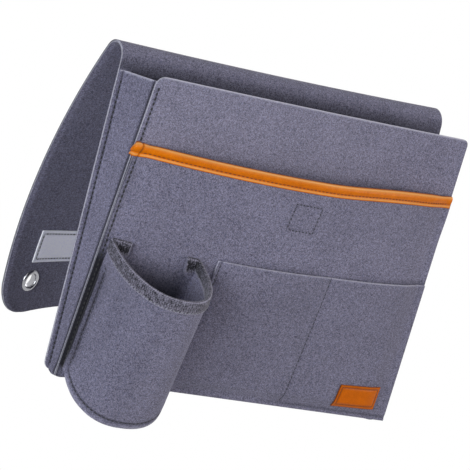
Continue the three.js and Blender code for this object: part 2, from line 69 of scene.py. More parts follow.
log = logging.getLogger("organizer")

MM = 0.001
ORIGIN_HEIGHT = 175.0
LAYER_GAP = 0.12

Pair = tuple[float, float]
Piece = bpy.types.Object
Surface = Callable[[float, float], Vector]
Height = Callable[[float, float], float]
Placing = Callable[[float, float], Pair]
Line = list[tuple[Vector, Vector]]
Stitch = tuple[list[Vector], list[tuple[int, ...]]]
Colour = tuple[int, int, int]


class Body(Enum):
    """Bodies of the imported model."""

    POUCH = "pouch"
    FLAP = "flap"


class Slot(Enum):
    """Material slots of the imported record."""

    FELT = "felt"
    LEATHER = "orange_leather"
    TAPE = "woven_tape"
    FASTENER = "white_fastener"
    METAL = "bright_metal"


class Held(Enum):
    """How a sheet is held."""

    DRAPED = "draped"
    HUNG = "hung"
    LAID = "laid"
    FOLDED = "folded"
    STRETCHED = "stretched"


# Numbers


def clamp(value: float, low: float = 0.0, high: float = 1.0) -> float:
    """Value held between low and high."""
    return max(low, min(high, value))


def lerp(start: float, end: float, share: float) -> float:
    """Value at a share of the way from start to end."""
    return start + (end - start) * share


def ease(value: float) -> float:
    """Smooth step from 0 to 1."""
    t = clamp(value)
    return t * t * (3 - 2 * t)


def groove(distance: float, width: float) -> float:
    """Share of a groove's depth at a distance from its line."""
    return math.exp(-((distance / width) ** 2))


def steps(low: float, high: float, count: int) -> list[float]:
    """Evenly spaced values from low to high, both included."""
    return [lerp(low, high, i / count) for i in range(count + 1)]


def merged(*runs: Iterable[float], least: float = 1e-6) -> list[float]:
    """Sorted values of all runs, without values nearer to each other than least."""
    out: list[float] = []
    for value in sorted(v for run in runs for v in run):
        if not out or value - out[-1] > least:
            out.append(value)
    return out


def edged(low: float, high: float, count: int, near: Sequence[float], least: float = 1e-6) -> list[float]:
    """Evenly spaced values from low to high, and more of them at given distances from both ends."""
    return merged(steps(low, high, count), [low + d for d in near], [high - d for d in near], least=least)


def corner_inset(along: float, radius: float) -> float:
    """How far a rounded corner draws the edge in.

    Args:
        along: distance into the corner.
        radius: the corner's radius.

    Returns:
        The inset of the edge.
    """
    reach = clamp(along, 0, radius)
    return radius - math.sqrt(radius * radius - reach * reach)


def linear(level: int) -> float:
    """Linear level of a screen level given in 0 to 255."""
    share = level / 255
    return share / 12.92 if share <= 0.04045 else ((share + 0.055) / 1.055) ** 2.4


def srgb(red: int, green: int, blue: int) -> tuple[float, float, float, float]:
    """Linear colour of a screen colour given in 0 to 255."""
    return linear(red), linear(green), linear(blue), 1.0


def to_frame(place: Vector) -> Vector:
    """Local millimetres turned into metres of the frame."""
    return Vector((place.x, place.y, place.z - ORIGIN_HEIGHT)) * MM


def normal_at(surface: Surface, a: float, b: float, small: float = 1e-3) -> Vector:
    """Unit normal of a surface from its own small steps."""
    along_a = surface(a + small, b) - surface(a - small, b)
    along_b = surface(a, b + small) - surface(a, b - small)
    return along_a.cross(along_b).normalized()


def raised(surface: Surface, a: float, b: float, distance: float) -> Vector:
    """Point over a surface, at a distance along its normal."""
    return surface(a, b) + normal_at(surface, a, b) * distance


def upright(face: Height, extra: float = 0.0) -> Surface:
    """Surface of a face y(x, z), moved along y by an extra distance."""

    def surface(x: float, z: float) -> Vector:
        """Point of the surface."""
        return Vector((x, face(x, z) + extra, z))

    return surface


def spread(face: Height, place: Placing) -> Surface:
    """Surface of a face y(x, z) over a grid whose places are given."""

    def surface(a: float, b: float) -> Vector:
        """Point of the surface."""
        x, z = place(a, b)
        return Vector((x, face(x, z), z))

    return surface


# Shaders


class Value:
    """A number in a shader. Operators add Math nodes."""

    def __init__(self, shader: "Shader", socket: Any) -> None:
        """Wraps a socket of a shader's node tree."""
        self.shader = shader
        self.socket = socket

    def _math(self, operation: str, first: Any, second: Any = None) -> "Value":
        """Adds one Math node and returns its result."""
        sockets = {0: first} if second is None else {0: first, 1: second}
        made = self.shader.node("ShaderNodeMath", {"operation": operation}, sockets)
        return Value(self.shader, made.outputs[0])

    def __add__(self, other: Any) -> "Value":
        """Sum."""
        return self._math("ADD", self, other)

    def __radd__(self, other: Any) -> "Value":
        """Reflected sum."""
        return self._math("ADD", other, self)

    def __sub__(self, other: Any) -> "Value":
        """Difference."""
        return self._math("SUBTRACT", self, other)

    def __rsub__(self, other: Any) -> "Value":
        """Reflected difference."""
        return self._math("SUBTRACT", other, self)

    def __mul__(self, other: Any) -> "Value":
        """Product."""
        return self._math("MULTIPLY", self, other)

    def sine(self) -> "Value":
        """Sine of the value in radians."""
        return self._math("SINE", self)

    def larger(self, other: Any) -> "Value":
        """Larger of two values."""
        return self._math("MAXIMUM", self, other)

    def held(self) -> "Value":
        """Value held between 0 and 1."""
        return self._math("MINIMUM", self.larger(0.0), 1.0)


class Shader:
    """A node tree that is built node by node."""

    def __init__(self, tree: bpy.types.NodeTree) -> None:
        """Starts from an empty tree."""
        self.tree = tree
        tree.nodes.clear()

    def node(
        self,
        kind: str,
        settings: dict[str, Any] | None = None,
        sockets: dict[Any, Any] | None = None,
    ) -> Any:
        """Adds a node.

        Args:
            kind: the node's type.
            settings: its properties, set first.
            sockets: values or links of its inputs, by name or number.

        Returns:
            The node.
        """
        made = self.tree.nodes.new(kind)
        for key, setting in (settings or {}).items():
            setattr(made, key, setting)
        for key, given in (sockets or {}).items():
            source = given.socket if isinstance(given, Value) else given
            if isinstance(source, bpy.types.NodeSocket):
                self.tree.links.new(source, made.inputs[key])
            else:
                made.inputs[key].default_value = source
        return made

    def value(self, socket: Any) -> Value:
        """Wraps a socket for maths."""
        return Value(self, socket)

    def place(self) -> Any:
        """Object coordinates."""
        return self.node("ShaderNodeTexCoord").outputs["Object"]

    def noise(
        self,
        place: Any,
        scale: float,
        detail: float = 2.0,
        roughness: float = 0.5,
        warp: float = 0.0,
    ) -> Value:
        """Noise of a given scale per metre at a place."""
        sockets = {"Scale": scale, "Detail": detail, "Roughness": roughness, "Distortion": warp}
        made = self.node("ShaderNodeTexNoise", None, {"Vector": place, **sockets})
        return self.value(made.outputs[0])

    def cells(self, place: Any, scale: float) -> Value:
        """Distance to the nearest point of a scattered set."""
        made = self.node("ShaderNodeTexVoronoi", {"feature": "F1"}, {"Vector": place, "Scale": scale})
        return self.value(made.outputs["Distance"])

    def attribute(self, name: str) -> Value:
        """A number that the mesh carries."""
        return self.value(self.node("ShaderNodeAttribute", {"attribute_name": name}).outputs["Fac"])

    def mix(self, first: Any, second: Any, share: Value) -> Any:
        """Colour between two colours."""
        made = self.node("ShaderNodeMix", {"data_type": "RGBA"}, {0: share, 6: first, 7: second})
        return made.outputs[2]

    def bump(self, height: Value, depth: float, strength: float = 1.0) -> Any:
        """Normal of a relief of the given depth in metres."""
        made = self.node("ShaderNodeBump", None, {"Strength": strength, "Distance": depth, "Height": height})
        return made.outputs["Normal"]

    def surface(self, sockets: dict[str, Any]) -> None:
        """Ends the tree in a Principled surface with the given inputs."""
        made = self.node("ShaderNodeBsdfPrincipled", None, sockets)
        self.node("ShaderNodeOutputMaterial", None, {"Surface": made.outputs[0]})


def in_scene(name: str, data: bpy.types.ID) -> Piece:
    """New object of some data, in the scene."""
    made = bpy.data.objects.new(name, data)
    bpy.context.scene.collection.objects.link(made)
    return made


def new_material(name: str) -> tuple[bpy.types.Material, Shader]:
    """An empty material and the builder of its tree."""
    material = bpy.data.materials.new(name)
    material.use_nodes = True
    return material, Shader(material.node_tree)


@dataclass(frozen=True)
class Finish:
    """A material of one surface, whose inputs each kind of finish gives."""

    name: str

    def inputs(self, shader: Shader, place: Any) -> dict[str, Any]:
        """Inputs of the surface, made in a shader at the piece's own coordinates."""
        raise NotImplementedError

    def make(self) -> bpy.types.Material:
        """Builds the material."""
        material, shader = new_material(self.name)
        shader.surface(self.inputs(shader, shader.place()))
        return material


@dataclass(frozen=True)
class FeltFinish(Finish):
    """Heathered pressed felt: mottled tone, bluish and warm fibres, matt nap.

    The mesh's number "pressed" mixes in painted shade: in seams and creases, in gaps, inside the pouch and
    inside the cup.
    Below 0 the number mixes in a painted highlight at edges.
    """

    name: str = "heathered_felt"
    dark: Colour = (76, 74, 90)
    light: Colour = (148, 145, 168)
    cool: Colour = (98, 102, 136)
    warm: Colour = (124, 115, 130)
    # colour of the painted shade
    shade: Colour = (14, 14, 19)
    painted_highlight: Colour = (204, 202, 218)
    nap: float = 0.0005
    fleck: float = 1250.0

    def inputs(self, shader: Shader, place: Any) -> dict[str, Any]:
        """Inputs of the surface."""
        fine = shader.noise(place, self.fleck, 2.0, 0.6)
        cloud = shader.noise(place, self.fleck * 0.45, 3.0, 0.65, 0.6)
        broad = shader.noise(place, 26.0, 2.0)
        tone = (fine - 0.5) * 2.9 + (cloud - 0.5) * 1.5 + (broad - 0.5) * 0.3 + 0.5
        grey = shader.mix(srgb(*self.dark), srgb(*self.light), tone.held())
        hue = shader.noise(place, self.fleck * 0.55, 2.0)
        tinted = shader.mix(grey, srgb(*self.cool), ((hue - 0.55) * 2.4).held())
        tinted = shader.mix(tinted, srgb(*self.warm), ((0.42 - hue) * 2.0).held())
        pressed = shader.attribute("pressed")
        # painted shade above 0 and painted highlight below 0, from the mesh's number
        colour = shader.mix(tinted, srgb(*self.shade), pressed.held() * 0.95)
        colour = shader.mix(colour, srgb(*self.painted_highlight), (pressed * -1.0).held())
        hairs = shader.noise(place, self.fleck * 1.7, 3.0, 0.7, 1.2)
        return {
            "Base Color": colour,
            "Roughness": 0.97 - (fine * 0.1),
            "Normal": shader.bump(fine * 0.5 + hairs * 0.3 + cloud * 0.4, self.nap, 0.8),
            "Sheen Weight": 0.12,
            "Sheen Roughness": 0.5,
            "Specular IOR Level": 0.2,
        }


@dataclass(frozen=True)
class LeatherFinish(Finish):
    """Grained orange leather: fine pebbled grain, darker in its hollows, satin sheen.

    The mesh's number "pressed" mixes in painted shade at its lines and edges, and below 0 a painted
    highlight.
    """

    name: str = "binding_leather"
    deep: Colour = (186, 89, 0)
    bright: Colour = (234, 128, 2)
    painted_highlight: Colour = (255, 200, 124)
    shade_colour: Colour = (96, 52, 22)
    grain: float = 1300.0
    gloss: float = 0.06
    coat: float = 0.08

    def inputs(self, shader: Shader, place: Any) -> dict[str, Any]:
        """Inputs of the surface."""
        pebbles = shader.cells(place, self.grain)
        cloud = shader.noise(place, 160.0, 3.0, 0.6)
        broad = shader.noise(place, 30.0, 2.0)
        tone = 0.95 - pebbles * 0.5 + (cloud - 0.5) * 0.7 + (broad - 0.5) * 0.5 - 0.2
        colour = shader.mix(srgb(*self.deep), srgb(*self.bright), tone.held())
        pressed = shader.attribute("pressed")
        # painted shade at lines and edges, then a painted highlight where the number is below 0
        colour = shader.mix(colour, srgb(*self.shade_colour), pressed.held() * 0.8)
        colour = shader.mix(colour, srgb(*self.painted_highlight), (pressed * -1.0).held())
        return {
            "Base Color": colour,
            "Roughness": 0.3 + pebbles * 0.14 + (cloud - 0.5) * 0.14,
            "Normal": shader.bump(1.0 - pebbles + (cloud - 0.5) * 0.5, 0.00015, 0.4),
            "Specular IOR Level": self.gloss,
            "Coat Weight": self.coat,
            "Coat Roughness": 0.12,
        }


@dataclass(frozen=True)
class TapeFinish(Finish):
    """Woven binding tape: ribs across its length, and uneven flecks.

    The mesh's number "tape_light_and_shade" mixes in a painted highlight at its edges and ends, and painted
    shade below 0.
    """

    name: str = "woven_tape"
    dark: Colour = (20, 19, 27)
    light: Colour = (148, 144, 162)
    rib: float = 1.9

    def inputs(self, shader: Shader, place: Any) -> dict[str, Any]:
        """Inputs of the surface."""
        cloth = shader.node("ShaderNodeUVMap", {"uv_map": "cloth"})
        split = shader.node("ShaderNodeSeparateXYZ", None, {0: cloth.outputs[0]})
        along, across = shader.value(split.outputs[0]), shader.value(split.outputs[1])
        turn = 2 * math.pi / (self.rib * MM)
        ribs = (along * turn + (across * turn * 0.5).sine() * 0.9).sine() * 0.5 + 0.5
        picks = (across * turn * 1.3).sine() * 0.5 + 0.5
        weave = ribs * 0.65 + picks * 0.35
        fuzz = shader.noise(place, 900.0, 2.0)
        flecks = shader.noise(place, 520.0, 2.0, 0.6, 0.8)
        edge = shader.attribute("tape_light_and_shade")
        # painted highlights at the edges and ends, painted shade where the number is below 0
        tone = weave * 0.4 + (fuzz - 0.5) * 0.5 + (flecks - 0.42) * 1.9 + edge * 0.8
        colour = shader.mix(srgb(*self.dark), srgb(*self.light), tone.held())
        return {
            "Base Color": colour,
            "Roughness": 0.9 - weave * 0.15,
            "Normal": shader.bump(weave + fuzz * 0.3, 0.0004, 0.9),
            "Sheen Weight": 0.15,
            "Specular IOR Level": 0.25,
        }


@dataclass(frozen=True)
class FastenerFinish(Finish):
    """Off-white hook-and-loop tape: dense small loops over a woven ground."""

    name: str = "white_fastener"
    dark: Colour = (228, 226, 252)
    light: Colour = (252, 250, 255)
    shade_colour: Colour = (104, 104, 128)
    loops: float = 1100.0

    def inputs(self, shader: Shader, place: Any) -> dict[str, Any]:
        """Inputs of the surface."""
        loops = shader.cells(place, self.loops)
        fuzz = shader.noise(place, 700.0, 3.0, 0.6)
        pressed = shader.attribute("pressed").held()
        tone = 0.85 - loops * 0.55 + (fuzz - 0.5) * 1.1
        colour = shader.mix(srgb(*self.dark), srgb(*self.light), tone.held())
        # painted shade along the stitch lines
        colour = shader.mix(colour, srgb(*self.shade_colour), pressed * 0.6)
        return {
            "Base Color": colour,
            "Roughness": 0.85 + (fuzz - 0.5) * 0.2,
            "Normal": shader.bump(1.0 - loops + fuzz * 0.6, 0.0002, 0.35),
            "Sheen Weight": 0.8,
            "Specular IOR Level": 0.3,
        }


@dataclass(frozen=True)
class ThreadFinish(Finish):
    """Sewing thread with a slight twist and uneven dye."""

    name: str = "dark_thread"
    dark: Colour = (9, 9, 12)
    light: Colour = (26, 26, 31)

    def inputs(self, shader: Shader, place: Any) -> dict[str, Any]:
        """Inputs of the surface."""
        dye = shader.noise(place, 420.0, 2.0)
        twist = shader.noise(place, 2600.0, 1.0)
        return {
            "Base Color": shader.mix(srgb(*self.dark), srgb(*self.light), (dye * 0.6 + twist * 0.4).held()),
            "Roughness": 0.7 + (twist - 0.5) * 0.3,
            "Normal": shader.bump(twist, 0.0001, 0.6),
        }


@dataclass(frozen=True)
class MetalFinish(Finish):
    """Bright plated metal with faint polishing marks."""

    name: str = "bright_metal"
    colour: Colour = (186, 186, 190)
    dull: Colour = (120, 120, 126)

    def inputs(self, shader: Shader, place: Any) -> dict[str, Any]:
        """Inputs of the surface."""
        marks = shader.noise(place, 500.0, 3.0, 0.7, 0.6)
        haze = shader.noise(place, 90.0, 2.0)
        shade = shader.mix(srgb(*self.colour), srgb(*self.dull), (haze * 0.8).held())
        return {
            "Base Color": shade,
            "Metallic": 1.0,
            "Roughness": 0.16 + marks * 0.12 + haze * 0.06,
            "Normal": shader.bump(marks, 0.00006, 0.4),
        }


class Finishes:
    """The finishes of the organizer; a sheet has one for its face and one for its cut edges."""

    def __init__(self) -> None:
        """Makes every material."""
        # the felt's cut edges take a lighter felt: a painted highlight along every edge
        lit_edge_felt = FeltFinish(
            "felt_edge_painted_highlight", (140, 138, 152), (208, 206, 220), (168, 170, 192), (180, 174, 186)
        )
        patch_leather = LeatherFinish("patch_leather", (174, 80, 0), (222, 112, 2), coat=0.05)
        cut_leather = LeatherFinish("cut_leather_edge", (132, 62, 4), (180, 92, 10)).make()
        cut_fastener = FastenerFinish("fastener_selvedge", (226, 226, 238), (255, 255, 255))
        self.felt = [FeltFinish().make(), lit_edge_felt.make()]
        self.leather = [LeatherFinish().make(), cut_leather]
        self.patch_leather = [patch_leather.make(), cut_leather]
        self.tape = [TapeFinish().make()]
        self.fastener = [FastenerFinish().make(), cut_fastener.make()]
        self.dark_thread = ThreadFinish().make()
        self.orange_thread = ThreadFinish("rust_thread", (96, 44, 2), (136, 64, 4)).make()
        self.pale_thread = ThreadFinish("pale_thread", (104, 104, 112), (172, 172, 180)).make()
        self.metal = MetalFinish().make()


# Bench


class Bench:
    """Mesh work: closed felt slabs, stitches and modifiers."""

    @staticmethod
    def take(piece: Piece) -> None:
        """Selects one object alone and makes it active."""
        bpy.ops.object.select_all(action="DESELECT")
        piece.select_set(True)
        bpy.context.view_layer.objects.active = piece

    @staticmethod
    def modifier(piece: Piece, kind: str, **settings: Any) -> None:
        """Adds a modifier to a piece, sets it and applies it."""
        Bench.take(piece)
        bpy.ops.object.modifier_add(type=kind)
        added = piece.modifiers[-1]
        for key, setting in settings.items():
            setattr(added, key, setting)
        bpy.ops.object.modifier_apply(modifier=added.name)

    @staticmethod
    def face_out(piece: Piece, angle: float = 40.0) -> None:
        """Turns a closed piece's faces outwards and smooths it below an angle in degrees."""
        Bench.take(piece)
        bpy.ops.object.mode_set(mode="EDIT")
        bpy.ops.mesh.select_all(action="SELECT")
        bpy.ops.mesh.normals_make_consistent(inside=False)
        bpy.ops.object.mode_set(mode="OBJECT")
        bpy.ops.object.shade_smooth_by_angle(angle=math.radians(angle))

    @staticmethod
    def bevel(piece: Piece, width: float) -> None:
        """Rounds a piece's sharp edges by a width in millimetres."""
        sharp = math.radians(50)
        Bench.modifier(piece, "BEVEL", width=width * MM, segments=2, limit_method="ANGLE", angle_limit=sharp)

    @staticmethod
    def slab(
        name: str,
        near: Surface,
        far: Surface,
        columns: Sequence[float],
        rows: Sequence[float],
        materials: Sequence[bpy.types.Material],
        marks: dict[str, Height] | None = None,
        rounding: float = 0.5,
        cut: tuple[bool, bool] = (True, True),
        behind: float = 0.0,
    ) -> Piece:
        """Closed sheet between two surfaces over one grid.

        Args:
            name: the piece's name.
            near: the face that shows.
            far: the face behind it.
            columns: values of the first parameter.
            rows: values of the second parameter.
            materials: the face's material, and the cut edge's where it differs.
            marks: named numbers that the shown face carries, by parameters.
            rounding: radius of the cut edges in millimetres, 0 for none.
            cut: whether the sheet shows cut edges at its column ends and at its row ends.
            behind: the same named numbers on the face behind.

        Returns:
            The piece, in metres of the frame.
        """
        wide = len(columns)
        layer = wide * len(rows)
        places = [to_frame(face(a, b)) for face in (near, far) for b in rows for a in columns]

        def at(column: int, row: int) -> int:
            """Number of a place in the grid."""
            return row * wide + column

        faces: list[tuple[int, ...]] = []
        for row in range(len(rows) - 1):
            for column in range(wide - 1):
                ring = (at(column, row), at(column + 1, row), at(column + 1, row + 1), at(column, row + 1))
                faces.append(ring)
                faces.append(tuple(index + layer for index in reversed(ring)))
        flat_count = len(faces)
        border = [at(c, 0) for c in range(wide - 1)]
        border += [at(wide - 1, r) for r in range(len(rows) - 1)]
        border += [at(c, len(rows) - 1) for c in range(wide - 1, 0, -1)]
        border += [at(0, r) for r in range(len(rows) - 1, 0, -1)]
        for start, end in zip(border, border[1:] + border[:1]):
            faces.append((end, start, start + layer, end + layer))
        mesh = bpy.data.meshes.new(name)
        mesh.from_pydata([tuple(p) for p in places], [], faces)
        for material in materials:
            mesh.materials.append(material)
        if len(materials) > 1:
            beside = [int(cut[0])] * (len(rows) - 1)
            below = [int(cut[1])] * (wide - 1)
            mesh.polygons.foreach_set("material_index", [0] * flat_count + below + beside + below + beside)
        Bench._unroll(mesh, places, wide, len(rows))
        for key, mark in (marks or {}).items():
            carried = mesh.attributes.new(key, "FLOAT", "POINT")
            values = [mark(a, b) for b in rows for a in columns]
            carried.data.foreach_set("value", values + [behind] * layer)
        piece = in_scene(name, mesh)
        if rounding:
            Bench.bevel(piece, rounding)
        Bench.face_out(piece)
        return piece

    @staticmethod
    def _unroll(mesh: bpy.types.Mesh, places: Sequence[Vector], wide: int, high: int) -> None:
        """Lays a grid out flat, by lengths along its middle row and column, in a map named cloth."""
        middle_row = (high // 2) * wide
        middle_column = wide // 2
        along = [0.0]
        for c in range(1, wide):
            along.append(along[-1] + (places[middle_row + c] - places[middle_row + c - 1]).length)
        across = [0.0]
        for r in range(1, high):
            here = places[r * wide + middle_column]
            across.append(across[-1] + (here - places[(r - 1) * wide + middle_column]).length)
        layer = wide * high
        cloth = mesh.uv_layers.new(name="cloth")
        corners = [0] * len(mesh.loops)
        mesh.loops.foreach_get("vertex_index", corners)
        spread: list[float] = []
        for index in corners:
            row, column = divmod(index % layer, wide)
            spread += [along[column], across[row]]
        cloth.data.foreach_set("uv", spread)

    @staticmethod
    def stitch_shape() -> Stitch:
        """Models one stitch, a short rounded bar of unit half length, and returns its points and faces."""
        bpy.ops.mesh.primitive_uv_sphere_add(segments=8, ring_count=5, radius=1.0)
        bar = bpy.context.object
        bpy.ops.object.mode_set(mode="EDIT")
        bpy.ops.mesh.select_all(action="SELECT")
        bpy.ops.transform.rotate(value=math.pi / 2, orient_axis="Y", center_override=(0, 0, 0))
        bpy.ops.object.mode_set(mode="OBJECT")
        points = [v.co.copy() for v in bar.data.vertices]
        for p in points:
            p.x = math.copysign(abs(p.x) ** 0.6, p.x)
            p.z = max(p.z, -0.4)
        faces = [tuple(polygon.vertices) for polygon in bar.data.polygons]
        spare = bar.data
        bpy.data.objects.remove(bar)
        bpy.data.meshes.remove(spare)
        return points, faces


@dataclass
class Seam:
    """A row of stitches that follows a line on a surface."""

    name: str
    line: Line
    thread: bpy.types.Material
    pitch: float = 3.6
    length: float = 2.5
    width: float = 0.95
    height: float = 0.45
    sunk: float = 0.1

    def sew(self, shape: Stitch) -> Piece:
        """Lays stitches along the line.

        Args:
            shape: points and faces of one stitch.

        Returns:
            The row as one piece.
        """
        points, faces = shape
        lengths = [0.0]
        for (here, _), (there, _) in zip(self.line, self.line[1:]):
            lengths.append(lengths[-1] + (there - here).length)
        count = max(1, int(lengths[-1] / self.pitch))
        first = (lengths[-1] - (count - 1) * self.pitch) / 2
        made: list[tuple[float, float, float]] = []
        rings: list[tuple[int, ...]] = []
        leg = 0
        for i in range(count):
            want = first + i * self.pitch
            while leg + 2 < len(lengths) and lengths[leg + 1] < want:
                leg += 1
            share = clamp((want - lengths[leg]) / max(lengths[leg + 1] - lengths[leg], 1e-9))
            (here, up_here), (there, up_there) = self.line[leg], self.line[leg + 1]
            up = up_here.lerp(up_there, share).normalized()
            along = (there - here).normalized()
            side = up.cross(along).normalized()
            middle = here.lerp(there, share) - up * self.sunk
            base = len(made)
            for p in points:
                placed = middle + along * (p.x * self.length / 2)
                placed += side * (p.y * self.width / 2)
                placed += up * (p.z * self.height)
                made.append(tuple(to_frame(placed)))
            rings += [tuple(base + index for index in ring) for ring in faces]
        mesh = bpy.data.meshes.new(self.name)
        mesh.from_pydata(made, [], rings)
        mesh.materials.append(self.thread)
        piece = in_scene(self.name, mesh)
        Bench.face_out(piece, 60.0)
        return piece


def on_surface(surface: Surface, places: Iterable[Pair], flip: bool = False) -> Line:
    """Points of a line on a surface with their normals, turned over where flip is set."""
    sign = -1.0 if flip else 1.0
    return [(surface(a, b), normal_at(surface, a, b) * sign) for a, b in places]


def loop_line(a0: float, a1: float, b0: float, b1: float, count: int = 24) -> list[Pair]:
    """Parameters round a rectangle, closed."""
    bottom = [(a, b0) for a in steps(a0, a1, count)]
    right = [(a1, b) for b in steps(b0, b1, count)]
    top = [(a, b1) for a in steps(a1, a0, count)]
    left = [(a0, b) for b in steps(b1, b0, count)]
    return bottom + right[1:] + top[1:] + left[1:]


# Forms


@dataclass(frozen=True)
class PouchForm:
    """Shape of the pouch's front layers: each gives the y of a face at a place (x, z)."""

    width: float = 320.0
    taper: float = 16.0
    height: float = 244.0
    bottom_depth: float = 22.0
    top_depth: float = 48.5
    bow: float = 8.0
    seam: float = 6.5
    stitch_inset: float = 3.2
    bottom_seam: float = 3.6
    felt: float = 3.0
    pressed: float = 0.9
    # share of painted shade in the stitched seams
    seam_shade: float = 0.65
    edge_roll: float = 1.4
    roll_run: float = 5.5
    seam_groove: float = 0.9
    fine_groove: float = 0.7
    drawn_in: float = 0.35
    lower_drawn_in: float = 0.6
    top_highlight_width: float = 0.9
    cup_room: Pair = (-150.0, -78.0)
    pocket_left: float = 189.0
    pocket_tilt: float = 5.3
    pocket_sag: float = 3.7
    pocket_lift: float = 1.6
    lift_middle: float = 0.55
    lift_half: float = 0.45
    side_run: Pair = (10.0, 24.0)
    bottom_run: float = 9.0
    pocket_bow: float = 20.0
    binding: float = 1.2
    trim_drop: float = 7.4
    trim_room: Pair = (34.0, 30.0)
    lower_left: float = -60.9
    lower_height: float = 113.6
    lower_tilt: float = 5.5
    lower_bow: float = 3.0
    lower_hem: float = 2.6
    divider_x: Pair = (50.7, 46.5)
    divider_run: float = 117.0
    square: tuple[float, float, float] = (25.0, 21.5, 159.0)
    seam_rows: tuple[float, ...] = (0, 1.6, 3, 4.2, 5.4, 7, 9.5, 13)

    def half(self, z: float) -> float:
        """Half of the front panel's width at a height."""
        return (self.width - self.taper * z / self.height) / 2

    @property
    def pocket_half(self) -> float:
        """Half of the width at the front pocket's edge."""
        return self.half(self.pocket_left)

    def seam_x(self, z: float) -> float:
        """Distance of the side seam from the middle at a height."""
        return self.half(z) * (1 - 2 * self.seam / self.width)

    def plane(self, z: float) -> float:
        """Front panel's flat face."""
        return -lerp(self.bottom_depth, self.top_depth, z / self.height)

    def bow_share(self, x: float, z: float) -> float:
        """Share of the bow: full in the middle, none from the side seams outwards."""
        return 1 - clamp(x / self.seam_x(z), -1, 1) ** 2

    def bow_rise(self, z: float, top: float) -> float:
        """Share of the bow at a height: none at the bottom seam, full at the top."""
        return math.sin(math.pi / 2 * clamp((z - self.seam) / (top - self.seam)))

    def stitch_x(self, z: float) -> float:
        """Distance of the left seam's stitches from the middle at a height."""
        return self.half(z) - self.stitch_inset

    def side_groove(self, x: float, z: float) -> float:
        """Share of the left seam's groove; the right seam is closed from inside."""
        return groove(self.stitch_x(z) + x, self.seam_groove) if x < 0 else 0.0

    def bottom_shown(self, x: float) -> float:
        """Share of the bottom seam that shows, which fades out to the left."""
        return lerp(0.15, 1.0, ease((x - 10) / 60))

    def bottom_groove(self, x: float, z: float) -> float:
        """Share of the bottom seam's groove."""
        return groove(z - self.bottom_seam, self.seam_groove) * self.bottom_shown(x)

    def front_rear(self, x: float, z: float) -> float:
        """Front panel's rear face."""
        return self.plane(z) - self.bow * (z / self.height) ** 2 * self.bow_share(x, z) + self.felt

    def front(self, x: float, z: float) -> float:
        """Front panel's face without its seams, rolled back towards the left edge."""
        roll = self.edge_roll * (1 - ease((self.half(z) + x) / self.roll_run))
        return self.front_rear(x, z) - self.felt + roll

    def front_press(self, x: float, z: float) -> float:
        """Share of pressing on the front panel."""
        return self.side_groove(x, z) * ease((self.height - 9 - z) / 4)

    def front_mark(self, x: float, z: float) -> float:
        """Share of painted shade on the front panel, in its left seam and as a shadow line along its left
        edge; below 0 a painted highlight at its top edge, and a little painted light towards the left.
        """
        painted_highlight = 0.05 * (1 - ease((x - 20) / 110)) + 0.7 * groove(self.height - z, self.top_highlight_width)
        return max(self.seam_shade * self.front_press(x, z), self.left_edge_shadow(x, z)) - painted_highlight

    def left_edge_shadow(self, x: float, z: float) -> float:
        """Share of painted shadow along the left edge, beside the side strip; none near the top."""
        low = ease((130 - z) / 30)
        return lerp(0.6, 0.8, low) * groove(self.half(z) + x, lerp(1.3, 2.4, low)) * ease((218 - z) / 50)

    def front_skin(self, x: float, z: float) -> float:
        """Front panel's face, drawn in at the side seams."""
        return self.front(x, z) + self.drawn_in * self.front_press(x, z)

    def pocket_height(self, x: float) -> float:
        """Height of the front pocket's top edge."""
        across = clamp(x / self.pocket_half, -1, 1)
        lift = self.pocket_lift * max(0.0, 1 - ((across - self.lift_middle) / self.lift_half) ** 2) ** 2
        level = self.pocket_left + self.pocket_tilt * (across + 1) / 2
        return level - self.pocket_sag * (1 - across * across) + lift

    def sewn(self, x: float, z: float) -> float:
        """Thickness of a sewn-on layer: pressed at the side and bottom seams."""
        side = ease((self.seam_x(z) - abs(x)) / self.side_run[x >= 0])
        bottom = ease((z - self.bottom_seam) / self.bottom_run)
        return lerp(self.pressed, self.felt, min(side, bottom))

    def pocket_rear(self, x: float, z: float) -> float:
        """Front pocket's rear face."""
        top = self.pocket_height(x)
        start, run = self.trim_room
        room = (self.binding + LAYER_GAP) * ease((z - top + self.trim_drop + start) / run)
        bow = self.pocket_bow * self.bow_rise(z, top) * self.bow_share(x, z)
        return self.front(x, z) - LAYER_GAP - room - bow

    def pocket(self, x: float, z: float) -> float:
        """Front pocket's face without its seams."""
        return self.pocket_rear(x, z) - self.sewn(x, z)

    def square_groove(self, x: float, z: float) -> float:
        """Share of the groove round the fastener square."""
        wide, high, middle = self.square
        out_x = abs(x) - wide / 2
        out_z = abs(z - middle) - high / 2
        return groove(max(out_x, out_z), self.fine_groove)

    def pocket_press(self, x: float, z: float) -> float:
        """Share of pressing on the front pocket."""
        return max(self.side_groove(x, z), self.bottom_groove(x, z), 0.45 * self.square_groove(x, z))

    def cup_gap_shadow(self, x: float, z: float) -> float:
        """Share of painted shadow in the deep gap between the left edge and the cup holder's tuck."""
        inset = self.half(z) + x
        beside = 1 - ease((inset - 5.5) / 1.6)
        return beside * ease((112 - z) / 16) * ease((z - 3) / 6)

    def pocket_mark(self, x: float, z: float) -> float:
        """Share of painted shade on the front pocket: its seams and the square's outline, shadow lines at the
        cup holder's gap, the left edge and the low pocket's edges, inside the cup holder, and a little
        towards the left.
        """
        left, right = self.cup_room
